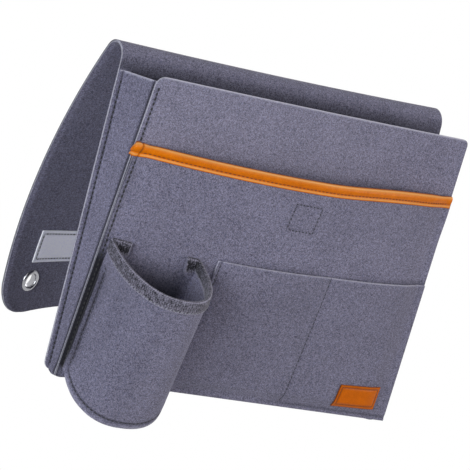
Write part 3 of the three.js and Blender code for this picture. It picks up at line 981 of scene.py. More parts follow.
        # inside: painted shade in the cup holder; tone: painted shade towards the left; hem and over: painted
        # shadows beside the low pocket's left edge and above its top edge
        inside = ease((x - left) / 6) * ease((right - x) / 6) * ease((112 - z) / 34)
        tone = 0.1 * (1 - ease((x + 130) / 100))
        beside = ease((self.lower_height + 1 - z) / 4) * ease((z - 4) / 4)
        hem = 0.75 * groove(x - self.lower_left + 1.6, 1.3) * beside
        over = 0.4 * groove(z - self.lower_top(x) - 1.0, 0.9) * ease((x - self.lower_left) / 4)
        shadow_lines = max(self.cup_gap_shadow(x, z), self.left_edge_shadow(x, z), hem, over)
        return max(self.seam_shade * self.pocket_press(x, z), shadow_lines, 0.7 * inside, tone)

    def pocket_skin(self, x: float, z: float) -> float:
        """Front pocket's face, drawn in at its seams."""
        return self.pocket(x, z) + self.drawn_in * self.pocket_press(x, z)

    def lower_top(self, x: float) -> float:
        """Height of the low pocket's top edge."""
        share = (x - self.lower_left) / (self.half(self.lower_height) - self.lower_left)
        return self.lower_height + self.lower_tilt * clamp(share) ** 1.6

    def divider(self, z: float) -> float:
        """Place of the low pocket's divider."""
        return lerp(*self.divider_x, z / self.divider_run)

    def lower_rear(self, x: float, z: float) -> float:
        """Low pocket's rear face."""
        first = self.lower_left + self.lower_hem
        middle = self.divider(z)
        start, end = (first, middle) if x < middle else (middle, self.seam_x(z))
        across = clamp(2 * (x - start) / (end - start) - 1, -1, 1)
        swell = self.lower_bow * self.bow_rise(z, self.lower_top(x)) * (1 - across * across)
        return self.pocket(x, z) - LAYER_GAP - swell

    def lower_thick(self, x: float, z: float) -> float:
        """Thickness of the low pocket: pressed at its seams and its left hem."""
        hem = ease((x - self.lower_left - self.lower_hem) / 7)
        return min(self.sewn(x, z), lerp(1.9, self.felt, hem))

    def lower(self, x: float, z: float) -> float:
        """Low pocket's face without its seams."""
        return self.lower_rear(x, z) - self.lower_thick(x, z)

    def lower_press(self, x: float, z: float) -> float:
        """Share of pressing on the low pocket."""
        return max(
            self.bottom_groove(x, z),
            0.7 * groove(x - self.divider(z), self.fine_groove),
            0.8 * groove(x - self.lower_left - self.lower_hem, self.fine_groove),
        )

    def lower_mark(self, x: float, z: float) -> float:
        """Share of painted shade on the low pocket: its seams, and a little all over it; below 0 a painted
        highlight at its top edge.
        """
        painted_highlight = 0.45 * groove(self.lower_top(x) - z, 0.8)
        # painted shade in the bottom seam
        seam = 0.9 * groove(z - self.bottom_seam, 0.6) * self.bottom_shown(x)
        return max(self.seam_shade * self.lower_press(x, z), seam, 0.09) - painted_highlight

    def lower_skin(self, x: float, z: float) -> float:
        """Low pocket's face, drawn in at its seams."""
        return self.lower(x, z) + self.lower_drawn_in * self.lower_press(x, z)


@dataclass(frozen=True)
class FlapForm:
    """Shape of the one sheet of back panel, bend and flap, by share across and length along."""

    width: float = 320.0
    felt: float = 3.0
    spring: float = 246.5
    arch: float = 10.5
    arch_turn: float = math.radians(146)
    length: float = 255.0
    end_turn: float = math.radians(177)
    cupping: float = math.radians(22)
    flap_corner: float = 30.0
    back_corner: float = 7.0
    crown_sag: float = 1.6
    sag_run: float = 55.0
    right_lean: float = 0.022
    lean_from: Pair = (120.0, 110.0)
    lean_past_crown: Pair = (170.0, 140.0)

    @property
    def bend(self) -> float:
        """Length of the bend along its outer face."""
        return (self.arch + self.felt) * self.arch_turn

    @property
    def whole(self) -> float:
        """Length of the sheet from the bottom edge to the flap's hem."""
        return self.spring + self.bend + self.length

    def bend_point(self, turn: float) -> Vector:
        """Point of the bend's outer face at a turn."""
        radius = self.arch + self.felt
        return Vector((0, self.arch - radius * math.cos(turn), self.spring + radius * math.sin(turn)))

    def profile(self, cup: float, down: float) -> Vector:
        """Flap's outer face in the middle plane, at a share of cupping and a distance down."""
        curl = (self.end_turn - self.arch_turn - self.cupping * cup) / self.length * down / 2
        chord = down if abs(curl) < 1e-9 else down * math.sin(curl) / curl
        heading = self.arch_turn + curl
        return self.bend_point(self.arch_turn) + Vector((0, math.sin(heading), math.cos(heading))) * chord

    def flap(self, u: float, down: float) -> Vector:
        """Flap's outer face at a share across and a distance down; the sheet narrows as it cups."""
        place = self.profile(1 - u * u, down)
        hollow = (self.profile(1, down) - self.profile(0, down)).length
        place.x = u * (self.width / 2 - 2 / 3 * hollow * hollow / (self.width / 2))
        return place

    def flap_inner(self, u: float, down: float) -> Vector:
        """Flap's inner face."""
        return raised(self.flap, u, down, -self.felt)

    def outer(self, u: float, along: float) -> Vector:
        """Whole sheet's outer face, which is the back panel's front face below the bend."""
        half = self.width / 2
        if along <= self.spring:
            inset = corner_inset(self.back_corner - along, self.back_corner)
            place = Vector((u * (half - inset), -self.felt, along))
        elif along <= self.spring + self.bend:
            place = self.bend_point((along - self.spring) / (self.arch + self.felt))
            place.x = u * half
        else:
            down = along - self.spring - self.bend
            inset = corner_inset(down - self.length + self.flap_corner, self.flap_corner)
            place = self.flap(u * (1 - inset / half), down)
        crown = self.spring + self.bend / 2
        place.z -= self.crown_sag * (1 - u * u) * ease(1 - abs(along - crown) / self.sag_run)
        start, start_run = self.lean_from
        end, end_run = self.lean_past_crown
        reach = ease((along - start) / start_run) * ease((crown + end - along) / end_run)
        place.x *= 1 - self.right_lean * ease(u) * reach
        return place


@dataclass(frozen=True)
class Oval:
    """Half oval of the cup holder between its two folds, whose front lies lower by the dip."""

    left: float
    width: float
    depth: float
    height: float
    dip: float


@dataclass(frozen=True)
class CupForm:
    """Shape of the cup holder on the front pocket."""

    pouch: PouchForm
    rim: Oval = Oval(-151.6, 75.0, 54.4, 111.9, 27.8)
    foot: Oval = Oval(-158.0, 91.0, 31.0, 9.0, 36.0)
    felt: float = 2.2
    fullness: float = 2.35
    left_flange: Pair = (5.0, 16.1)
    right_flange: Pair = (3.2, 11.4)
    turn: float = 3.0
    fold: float = 2.35
    tuck: float = 4.6
    hollow: float = 0.7
    first_turn: float = math.radians(6)
    lean: float = 1.6
    tape: float = 0.8
    tape_drop: float = 7.6

    def at(self, key: str, rise: float) -> float:
        """A size of the oval at a share of the wall's height."""
        return lerp(getattr(self.foot, key), getattr(self.rim, key), rise)

    def flange(self, rise: float, mirrored: bool) -> float:
        """Width of a flange, which widens to a tab at the rim."""
        low, tab = self.right_flange if mirrored else self.left_flange
        return lerp(low, tab, ease((rise - 0.82) / 0.07))

    def tucked(self, rise: float) -> float:
        """Share of the left fold's sewn tuck at a share of the height."""
        return ease((0.93 - rise) / 0.22) * ease((rise + 0.08) / 0.25)

    def plain_section(self, part: float, half: float, depth: float) -> Pair:
        """Half of the wall's section from the fold on: a quarter turn, and the oval to its middle.

        Args:
            part: 1 to 2 round the fold, then the oval to 2.5.
            half: half of the oval's width.
            depth: the oval's depth.

        Returns:
            The distance in from the fold's edge, and the distance forward from the pocket.
        """
        turn = self.turn
        if part <= 2:
            angle = math.pi / 2 * (part - 1)
            return turn * (1 - math.sin(angle)), turn * (1 - math.cos(angle))
        if part <= 2.2:
            angle = self.first_turn * (part - 2) / 0.2
        else:
            angle = lerp(self.first_turn, math.pi / 2, clamp((part - 2.2) / 0.3))
        inward = half * (1 - max(math.cos(angle), 0) ** (2 / self.fullness))
        return inward, turn + (depth - turn) * math.sin(angle) ** (2 / self.fullness)

    def tuck_section(self, part: float, half: float, depth: float) -> Pair:
        """Half of the wall's section with a sewn tuck: half turn, tuck, hollow, and the oval to its middle.

        Args:
            part: 1 to 2 round the fold, then the tuck, the hollow and the oval to 2.5.
            half: half of the oval's width.
            depth: the oval's depth.

        Returns:
            The distance in from the fold's edge, and the distance forward from the pocket.
        """
        turn, tuck, hollow = self.fold, self.tuck, self.hollow
        if part <= 2:
            angle = math.pi * (part - 1)
            return turn * (1 - math.sin(angle)), turn * (1 - math.cos(angle))
        if part <= 2.1:
            return lerp(turn, tuck - hollow, (part - 2) * 10), 2 * turn
        if part <= 2.2:
            angle = math.pi / 2 * (part - 2.1) * 10
            return tuck - hollow * (1 - math.sin(angle)), 2 * turn + hollow * (1 - math.cos(angle))
        angle = math.pi / 2 * clamp((part - 2.2) / 0.3)
        start = 2 * turn + hollow
        inward = tuck + (half - tuck) * (1 - max(math.cos(angle), 0) ** (2 / self.fullness))
        return inward, start + (depth - start) * math.sin(angle) ** (2 / self.fullness)

    def section(self, leg: float, rise: float) -> Pair:
        """Distance in from the fold's edge and forward from the pocket, on the leg's own side."""
        mirrored = leg > 2.5
        part = 5 - leg if mirrored else leg
        depth = self.at("depth", rise)
        half = self.at("width", rise) / 2
        share = 0.0 if mirrored else self.tucked(rise)
        bent = max(part, 1.0)
        inward, forward = self.plain_section(bent, half, depth)
        if share > 0:
            tuck_inward, tuck_forward = self.tuck_section(bent, half, depth)
            inward, forward = lerp(inward, tuck_inward, share), lerp(forward, tuck_forward, share)
        if part < 1:
            inward = lerp(self.flange(rise, mirrored), inward, part)
        return inward, forward

    def outer(self, leg: float, rise: float) -> Vector:
        """Wall's outer face over legs 0 to 5 from the left flange to the right one; rise from foot to rim."""
        depth = self.at("depth", rise)
        half = self.at("width", rise) / 2
        middle = self.at("left", rise) + half
        near_rim = 1 - 2 * self.tape_drop / (self.rim.height - self.foot.height)
        lift = LAYER_GAP + (self.tape + LAYER_GAP) * ease((rise - near_rim) / ((1 - near_rim) / 2))
        inward, forward = self.section(leg, rise)
        x = middle + half - inward if leg > 2.5 else middle - half + inward
        leaning = self.lean * rise ** 3 * (middle - x) / half * (1 - forward / depth)
        z = self.at("height", rise) + leaning
        y = self.pouch.pocket(x, z) - lift - forward
        return Vector((x, y, z - self.at("dip", rise) * forward / depth))

    def inner(self, leg: float, rise: float) -> Vector:
        """Wall's inner face."""
        return raised(self.outer, leg, rise, -self.felt)


# Sub-assemblies


@dataclass(frozen=True)
class Cut:
    """A sheet as recorded here: nodes it stands for, flat size in metres, and how it is held."""

    nodes: tuple[str, ...]
    flat: Pair
    held: Held
    rests_on: tuple[str, ...]
    area: float | None = None
    slot: Slot = Slot.FELT
    body: Body = Body.POUCH


@dataclass
class Workshop:
    """What every sub-assembly needs: finishes, the stitch shape, and the way a piece joins the frame."""

    finishes: Finishes
    stitch: Stitch

    def join(self, piece: Piece, body: Body | None, slot: Slot, nodes: Sequence[str] = ()) -> None:
        """Lets a piece ride on a body and stand for CAD nodes.

        Args:
            piece: the finished piece.
            body: the body that carries it, or none where it bends between bodies.
            slot: the record's material slot; not used.
            nodes: the CAD nodes that it stands for.
        """
        if body is not None:
            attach(piece, body.value)
        if nodes:
            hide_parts(*nodes)
        log.info("made %s with %d faces", piece.name, len(piece.data.polygons))

    def lay(self, piece: Piece, cut: Cut) -> None:
        """Joins a sheet to its body."""
        self.join(piece, cut.body, cut.slot, cut.nodes)
        list(cut.rests_on)

    def seam(self, row: Seam, body: Body = Body.POUCH, slot: Slot = Slot.FELT) -> None:
        """Sews a row of stitches that rides on a body."""
        self.join(row.sew(self.stitch), body, slot)


@dataclass
class BodySheet:
    """One felt sheet that is the back panel, the bend and the flap, with strips and eyelets."""

    shop: Workshop
    form: FlapForm
    edge_felt: float = 1.9
    strip_margin: float = 26.0
    strip_width: float = 29.5
    strip_to_hem: float = 46.0
    strip_inset: float = 3.0
    strip_gap: float = 0.1
    mate_height: float = 38.0
    fastener: float = 1.2
    eyelet_to_side: float = 31.0
    eyelet_to_hem: float = 29.0
    bore: float = 6.0
    flange: float = 9.75
    hole: float = 6.9
    seam_inset: float = 4.2
    seam_top: float = 236.0

    def eyelet_matrix(self, side: int) -> Matrix:
        """Frame of an eyelet on the felt's inner face, its Z towards the pouch, in metres."""
        u = side * (1 - self.eyelet_to_side / (self.form.width / 2))
        down = self.form.length - self.eyelet_to_hem
        inwards = -normal_at(self.form.flap, u, down)
        turn = inwards.to_track_quat("Z", "Y").to_matrix().to_4x4()
        return Matrix.Translation(to_frame(self.form.flap_inner(u, down))) @ turn

    def far(self, u: float, along: float) -> Vector:
        """Sheet's face behind, which comes nearer towards the side edges."""
        form = self.form
        thick = lerp(self.edge_felt, form.felt, ease((1 - abs(u)) * form.width / 2 / 5))
        return raised(form.outer, u, along, -thick)

    def mark(self, u: float, along: float) -> float:
        """Share of painted shade: inside the pouch, fading out over the bend, and along the flap's edges."""
        form = self.form
        enclosed = max(ease((0.955 - abs(u)) / 0.02), ease((along - 237) / 4))
        deeper = lerp(0.3, 1, ease((along - 150) / 80))
        inside = 0.65 * (1 - ease((along - 236) / 26)) * deeper * enclosed
        past_crown = ease((along - form.spring - form.bend / 2) / 8)
        return max(inside, groove((1 - abs(u)) * form.width / 2, 0.5) * past_crown)

    def sheet(self) -> None:
        """Builds the sheet, with its eyelet holes cut."""
        form = self.form
        bend_end = form.spring + form.bend
        rows = merged(
            [form.back_corner * (1 - math.cos(t)) for t in steps(0, math.pi / 2, 6)],
            steps(form.back_corner, form.spring - 40, 16),
            steps(form.spring - 40, form.spring, 8),
            steps(form.spring, bend_end, 26),
            steps(bend_end, form.whole - form.flap_corner, 36),
            [form.whole - form.flap_corner * (1 - math.sin(t)) for t in steps(0, math.pi / 2, 14)],
            least=0.02,
        )
        near = [d / (form.width / 2) for d in (0.8, 1.6, 2.6, 3.8, 5.2)]
        columns = edged(-1, 1, 56, near, 0.003)
        felt = self.shop.finishes.felt
        marks = {"pressed": self.mark}
        name = "back_and_flap_sheet"
        # behind: painted shade over the whole face behind, the flap's inner face and the back panel's rear
        piece = Bench.slab(name, form.outer, self.far, columns, rows, felt, marks, behind=0.1)
        for side in (-1, 1):
            bpy.ops.mesh.primitive_cylinder_add(vertices=40, radius=self.hole * MM, depth=20 * MM)
            punch = bpy.context.object
            punch.data.transform(self.eyelet_matrix(side))
            Bench.modifier(piece, "BOOLEAN", operation="DIFFERENCE", solver="EXACT", object=punch)
            bpy.data.objects.remove(punch)
        Bench.take(piece)
        bpy.ops.object.shade_smooth_by_angle(angle=math.radians(40))
        self.shop.join(piece, None, Slot.FELT, ("back_panel", "flap_bend", "flap"))
        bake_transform(piece)
        corners = 0.43 * (form.flap_corner**2 + form.back_corner**2) * MM * MM
        form.width * MM
        form.whole * MM
        form.width * form.whole * MM * MM - corners

    def over_flap(self, u: float, down: float, rise: float) -> Vector:
        """Point over the flap's inner face, by share across and distance down."""
        return self.form.flap_inner(u, down) - normal_at(self.form.flap, u, down) * rise

    def over_back(self, x: float, z: float, rise: float) -> Vector:
        """Point over the back panel's rear face."""
        return Vector((x, rise, z))

    def strip(
        self,
        name: str,
        body: Body,
        over: Callable[[float, float, float], Vector],
        unit: float,
        top: float,
        count: int,
        stitch: Pair,
    ) -> None:
        """Hook-and-loop strip, sewn round its edge.

        Args:
            name: the piece's name.
            body: the body that carries it.
            over: point over the felt, by place across, place along and distance off the felt.
            unit: millimetres of one unit across.
            top: place along the felt where the strip starts.
            count: columns of the strip.
            stitch: width and height of its stitches.
        """
        half = (self.form.width / 2 - self.strip_margin) / unit
        end = top + self.strip_width
        inset = self.strip_inset

        def press(across: float, along: float) -> float:
            """Share of pressing along the stitches."""
            from_edge = min((half - abs(across)) * unit, along - top, end - along)
            return groove(from_edge - inset, 0.8)

        def face(across: float, along: float) -> Vector:
            """Face that shows."""
            return over(across, along, self.strip_gap + self.fastener - 0.4 * press(across, along))

        def back(across: float, along: float) -> Vector:
            """Face on the felt."""
            return over(across, along, self.strip_gap)

        edge = (1, 2.2, 3, 3.8, 5)
        columns = edged(-half, half, count, [d / unit for d in edge])
        rows = edged(top, end, 8, edge)
        white = self.shop.finishes.fastener
        # the pressing share also paints shade along the stitches
        piece = Bench.slab(name, face, back, columns, rows, white, {"pressed": press}, 0.25)
        flat = (2 * half * unit * MM, self.strip_width * MM)
        under = ("back_and_flap_sheet",)
        self.shop.lay(piece, Cut((f"{name}_strip",), flat, Held.LAID, under, None, Slot.FASTENER, body))
        reach = half - inset / unit
        line = on_surface(face, loop_line(-reach, reach, top + inset, end - inset, 40), flip=True)
        row = Seam(f"{name}_stitches", line, self.shop.finishes.dark_thread, 3.2, 2.4, *stitch)
        self.shop.seam(row, body, Slot.FASTENER)

    def turned(self, name: str, profile: Sequence[Pair], side: int) -> Piece:
        """Turns a closed profile of (radius, height) into a ring at an eyelet.

        Args:
            name: the piece's name.
            profile: points of the profile, in millimetres.
            side: -1 for the left eyelet and 1 for the right one.

        Returns:
            The ring.
        """
        bpy.ops.mesh.primitive_circle_add(vertices=len(profile), radius=1.0)
        ring = bpy.context.object
        ring.name = name
        ring.data.name = name
        for vertex, (radius, height) in zip(ring.data.vertices, profile):
            vertex.co = Vector((radius, 0, height)) * MM
        bpy.ops.object.mode_set(mode="EDIT")
        bpy.ops.mesh.select_all(action="SELECT")
        bpy.ops.mesh.spin(steps=48, angle=2 * math.pi, center=(0, 0, 0), axis=(0, 0, 1))
        bpy.ops.mesh.select_all(action="SELECT")
        bpy.ops.mesh.remove_doubles(threshold=1e-6)
        bpy.ops.object.mode_set(mode="OBJECT")
        ring.data.materials.append(self.shop.finishes.metal)
        Bench.bevel(ring, 0.12)
        ring.data.transform(self.eyelet_matrix(side))
        Bench.face_out(ring, 35.0)
        return ring

    def eyelets(self) -> None:
        """Domed eyelets with their barrels through the felt, and the washers behind them."""
        bore, rim, felt = self.bore, self.flange, self.form.felt
        foot = -felt - 1.3
        dome = [
            (bore + 0.6, foot), (bore + 0.6, 0.1), (rim, 0.1), (rim, 0.45), (rim - 0.35, 1.05),
            (rim - 1.1, 1.6), (lerp(bore, rim, 0.45), 1.85), (bore + 0.75, 1.6), (bore + 0.2, 1.05),
            (bore, 0.2), (bore, foot), (bore + 0.2, foot - 0.35), (bore + 0.9, foot - 0.35),
            (bore + 1.35, foot - 0.1), (bore + 1.35, foot + 0.25), (bore + 0.62, foot + 0.25),
        ]
        washer = [
            (bore + 0.75, -felt - 0.1), (rim, -felt - 0.1), (rim, -felt - 0.4),
            (rim - 0.8, -felt - 0.85), (bore + 1.6, -felt - 0.95), (bore + 0.75, -felt - 0.95),
        ]
        for side, word in ((-1, "left"), (1, "right")):
            for made, node, profile in (("ring", "eyelet", dome), ("back", "eyelet_washer", washer)):
                piece = self.turned(f"eyelet_{made}_{word}", profile, side)
                self.shop.join(piece, Body.FLAP, Slot.METAL, (f"{node}_{word}",))

    def rear_seams(self) -> None:
        """Stitches of the side and bottom seams on the back panel's rear face."""

        def face(x: float, z: float) -> Vector:
            """Back panel's rear face."""
            return self.over_back(x, z, 0.0)

        inset = self.seam_inset
        edge = self.form.width / 2 - inset
        foot = inset + 4
        down = [(-edge, z) for z in steps(self.seam_top, foot, 40)]
        below = [(x, inset) for x in steps(-edge + 4, edge - 4, 50)]
        up = [(edge, z) for z in steps(foot, self.seam_top, 40)]
        line = on_surface(face, down + below + up, flip=True)
        self.shop.seam(Seam("rear_seam_stitches", line, self.shop.finishes.dark_thread, 3.8, 2.6))

    def build(self) -> None:
        """Builds the whole sub-assembly."""
        self.sheet()
        half = self.form.width / 2
        flap_top = self.form.length - self.strip_to_hem - self.strip_width
        self.strip("flap_fastener", Body.FLAP, self.over_flap, half, flap_top, 40, (1.1, 0.4))
        self.strip("back_fastener", Body.POUCH, self.over_back, 1.0, self.mate_height, 24, (0.8, 0.35))
        self.eyelets()
        self.rear_seams()


@dataclass
class SideStrip:
    """Felt strip that makes both gussets and the bottom, turned outwards against the panels."""

    shop: Workshop
    form: PouchForm
    top: float = 239.0
    corner: float = 8.0
    bend: float = 3.2
    back_inset: float = 0.5
    front_inset: float = 2.4
    pressed: float = 1.4
    crease_run: float = 6.2
    bunch: float = 6.0
    stitched: float = 0.8

    def half(self, z: float, front: float) -> float:
        """Half of the width at a height, from the back panel's to the front panel's."""
        return lerp(self.form.width / 2, self.form.half(z), front)

    def path(self, t: float, front: float) -> tuple[Vector, Vector]:
        """Edge of the panels along the strip.

        Args:
            t: 0 to 1 down the left side, 1 to 2 round the corner, 2 to 3 along the bottom, and on to 5.
            front: 0 for the back panel's edge, 1 for the front panel's.

        Returns:
            The point in the panels' plane (x, 0, z), and the direction outwards.
        """
        mirrored = t > 2.5
        part = 5 - t if mirrored else t
        radius = self.corner
        inner = self.half(radius, front) - radius
        if part <= 1:
            z = lerp(self.top, radius, part)
            place, out = Vector((-self.half(z, front), 0, z)), Vector((-1, 0, 0))
        elif part <= 2:
            angle = math.pi / 2 * (part - 1)
            out = Vector((-math.cos(angle), 0, -math.sin(angle)))
            place = Vector((-inner, 0, radius)) + out * radius
        else:
            place, out = Vector((lerp(-inner, inner, part - 2), 0, 0)), Vector((0, 0, -1))
        if mirrored:
            place.x, out.x = -place.x, -out.x
        return place, out

    def section(self, leg: float, depth: float) -> Pair:
        """Cross-section over legs 0 to 5: back flange, bend, web, bend, front flange.

        Args:
            leg: place along the section.
            depth: distance between the two flanges.

        Returns:
            The offset from the panels' edge, and the share of the way to the front.
        """
        seam, bend = self.form.seam, self.bend
        mirrored = leg > 2.5
        part = 5 - leg if mirrored else leg
        if part <= 1:
            edge = self.front_inset if mirrored else self.back_inset
            offset, run = lerp(-edge, bend - seam, part), 0.0
        elif part <= 2:
            angle = math.pi / 2 * (part - 1)
            offset, run = bend - seam - bend * math.sin(angle), bend * (1 - math.cos(angle))
        else:
            offset, run = -seam, lerp(bend, depth / 2, (part - 2) * 2)
        share = run / depth
        return offset, 1 - share if mirrored else share

    def contact(self, leg: float, t: float) -> Vector:
        """Face that lies against the panels, and inside the pouch."""
        rough, _ = self.path(t, 0.0)
        form = self.form
        back_y = -form.felt - LAYER_GAP
        front_y = form.plane(rough.z) + form.felt + LAYER_GAP
        offset, share = self.section(leg, back_y - front_y)
        place, out = self.path(t, share)
        place = place + out * offset
        part = min(t, 5 - t)
        web = ease((min(leg, 5 - leg) - 1) / 1.2)
        hang = self.bunch * ease((part - 0.92) / 0.6) * (1 - ease((part - 2) / 0.12)) * web
        swell = 0.25 * self.bunch * ease((part - 0.96) / 0.5) * (1 - ease((part - 1.6) / 0.4)) * web
        side = -1.0 if t < 2.5 else 1.0
        return Vector((place.x + side * swell, lerp(back_y, front_y, share), place.z - hang))

    def press(self, leg: float) -> float:
        """Share of pressing along both seams."""
        part = min(leg, 5 - leg)
        return groove((part - self.stitched) * 3.0, 0.8) if part < 1.6 else 0.0

    def crease(self, leg: float, t: float) -> float:
        """Share of the crease along the web, just behind the front panel."""
        if not 2.5 < leg <= 3:
            return 0.0
        rough, _ = self.path(t, 0.0)
        depth = -self.form.plane(rough.z) - 2 * (self.form.felt + LAYER_GAP)
        run = lerp(self.bend, depth / 2, (3 - leg) * 2)
        return groove(run - self.crease_run, 1.2)

    def mark(self, leg: float, t: float) -> float:
        """Share of painted shade in the seams and the crease, and darker lower down; below 0 a painted
        highlight at the top edges.
        """
        rough, _ = self.path(t, 0.0)
        low = 0.15 * (1 - ease(rough.z / 110))
        painted_highlight = 0.75 * groove(self.top - rough.z, 1.0)
        return max(self.form.seam_shade * self.press(leg), self.crease(leg, t), low) - painted_highlight

    def outer(self, leg: float, t: float) -> Vector:
        """Face that shows outside, thin at the flanges' edges and drawn in along the seams."""
        spring = ease(min(leg, 5 - leg) / 1.6)
        drawn = 0.5 * self.press(leg) + 0.7 * self.crease(leg, t)
        thick = lerp(self.pressed, self.form.felt, spring) - drawn
        return raised(self.contact, leg, t, -thick)

    def build(self) -> None:
        """Builds the strip and its seam stitches."""
        flange = [0.0, 0.3, 0.5, 0.65, 0.8, 0.9, 1.0]
        near_front = [3 - d for d in (0.03, 0.06, 0.09, 0.13, 0.18, 0.22, 0.3)]
        web = merged(steps(2, 3, 8), near_front, least=0.012)
        section = merged(flange, steps(1, 2, 6), web, steps(3, 4, 6), [5 - leg for leg in flange])
        tips = [d / (self.top - self.corner) for d in (0.8, 1.6, 2.4)]
        ends = merged(steps(0, 1, 26), tips, steps(1, 2, 8))
        along = merged(ends, steps(2, 3, 36), [5 - t for t in ends])
        felt = self.shop.finishes.felt
        marks = {"pressed": self.mark}
        shown = (False, True)
        piece = Bench.slab("side_strip", self.outer, self.contact, section, along, felt, marks, 0.35, shown)
        nodes = ("gusset_left", "gusset_right", "bottom_strip")
        under = ("back_and_flap_sheet", "front_panel_sheet")
        self.shop.lay(piece, Cut(nodes, (0.054, 0.798), Held.FOLDED, under, 0.0228))
        runs = {
            "left": merged(steps(0.03, 1, 40), steps(1, 2, 8)),
            "right": merged(steps(3, 4, 8), steps(4, 4.97, 40)),
        }
        dark = self.shop.finishes.dark_thread
        for side, run in runs.items():
            line = on_surface(self.outer, [(self.stitched, t) for t in run], flip=True)
            self.shop.seam(Seam(f"{side}_gusset_stitches", line, dark, 4.0, 2.5, 1.4, 0.5, -0.1))


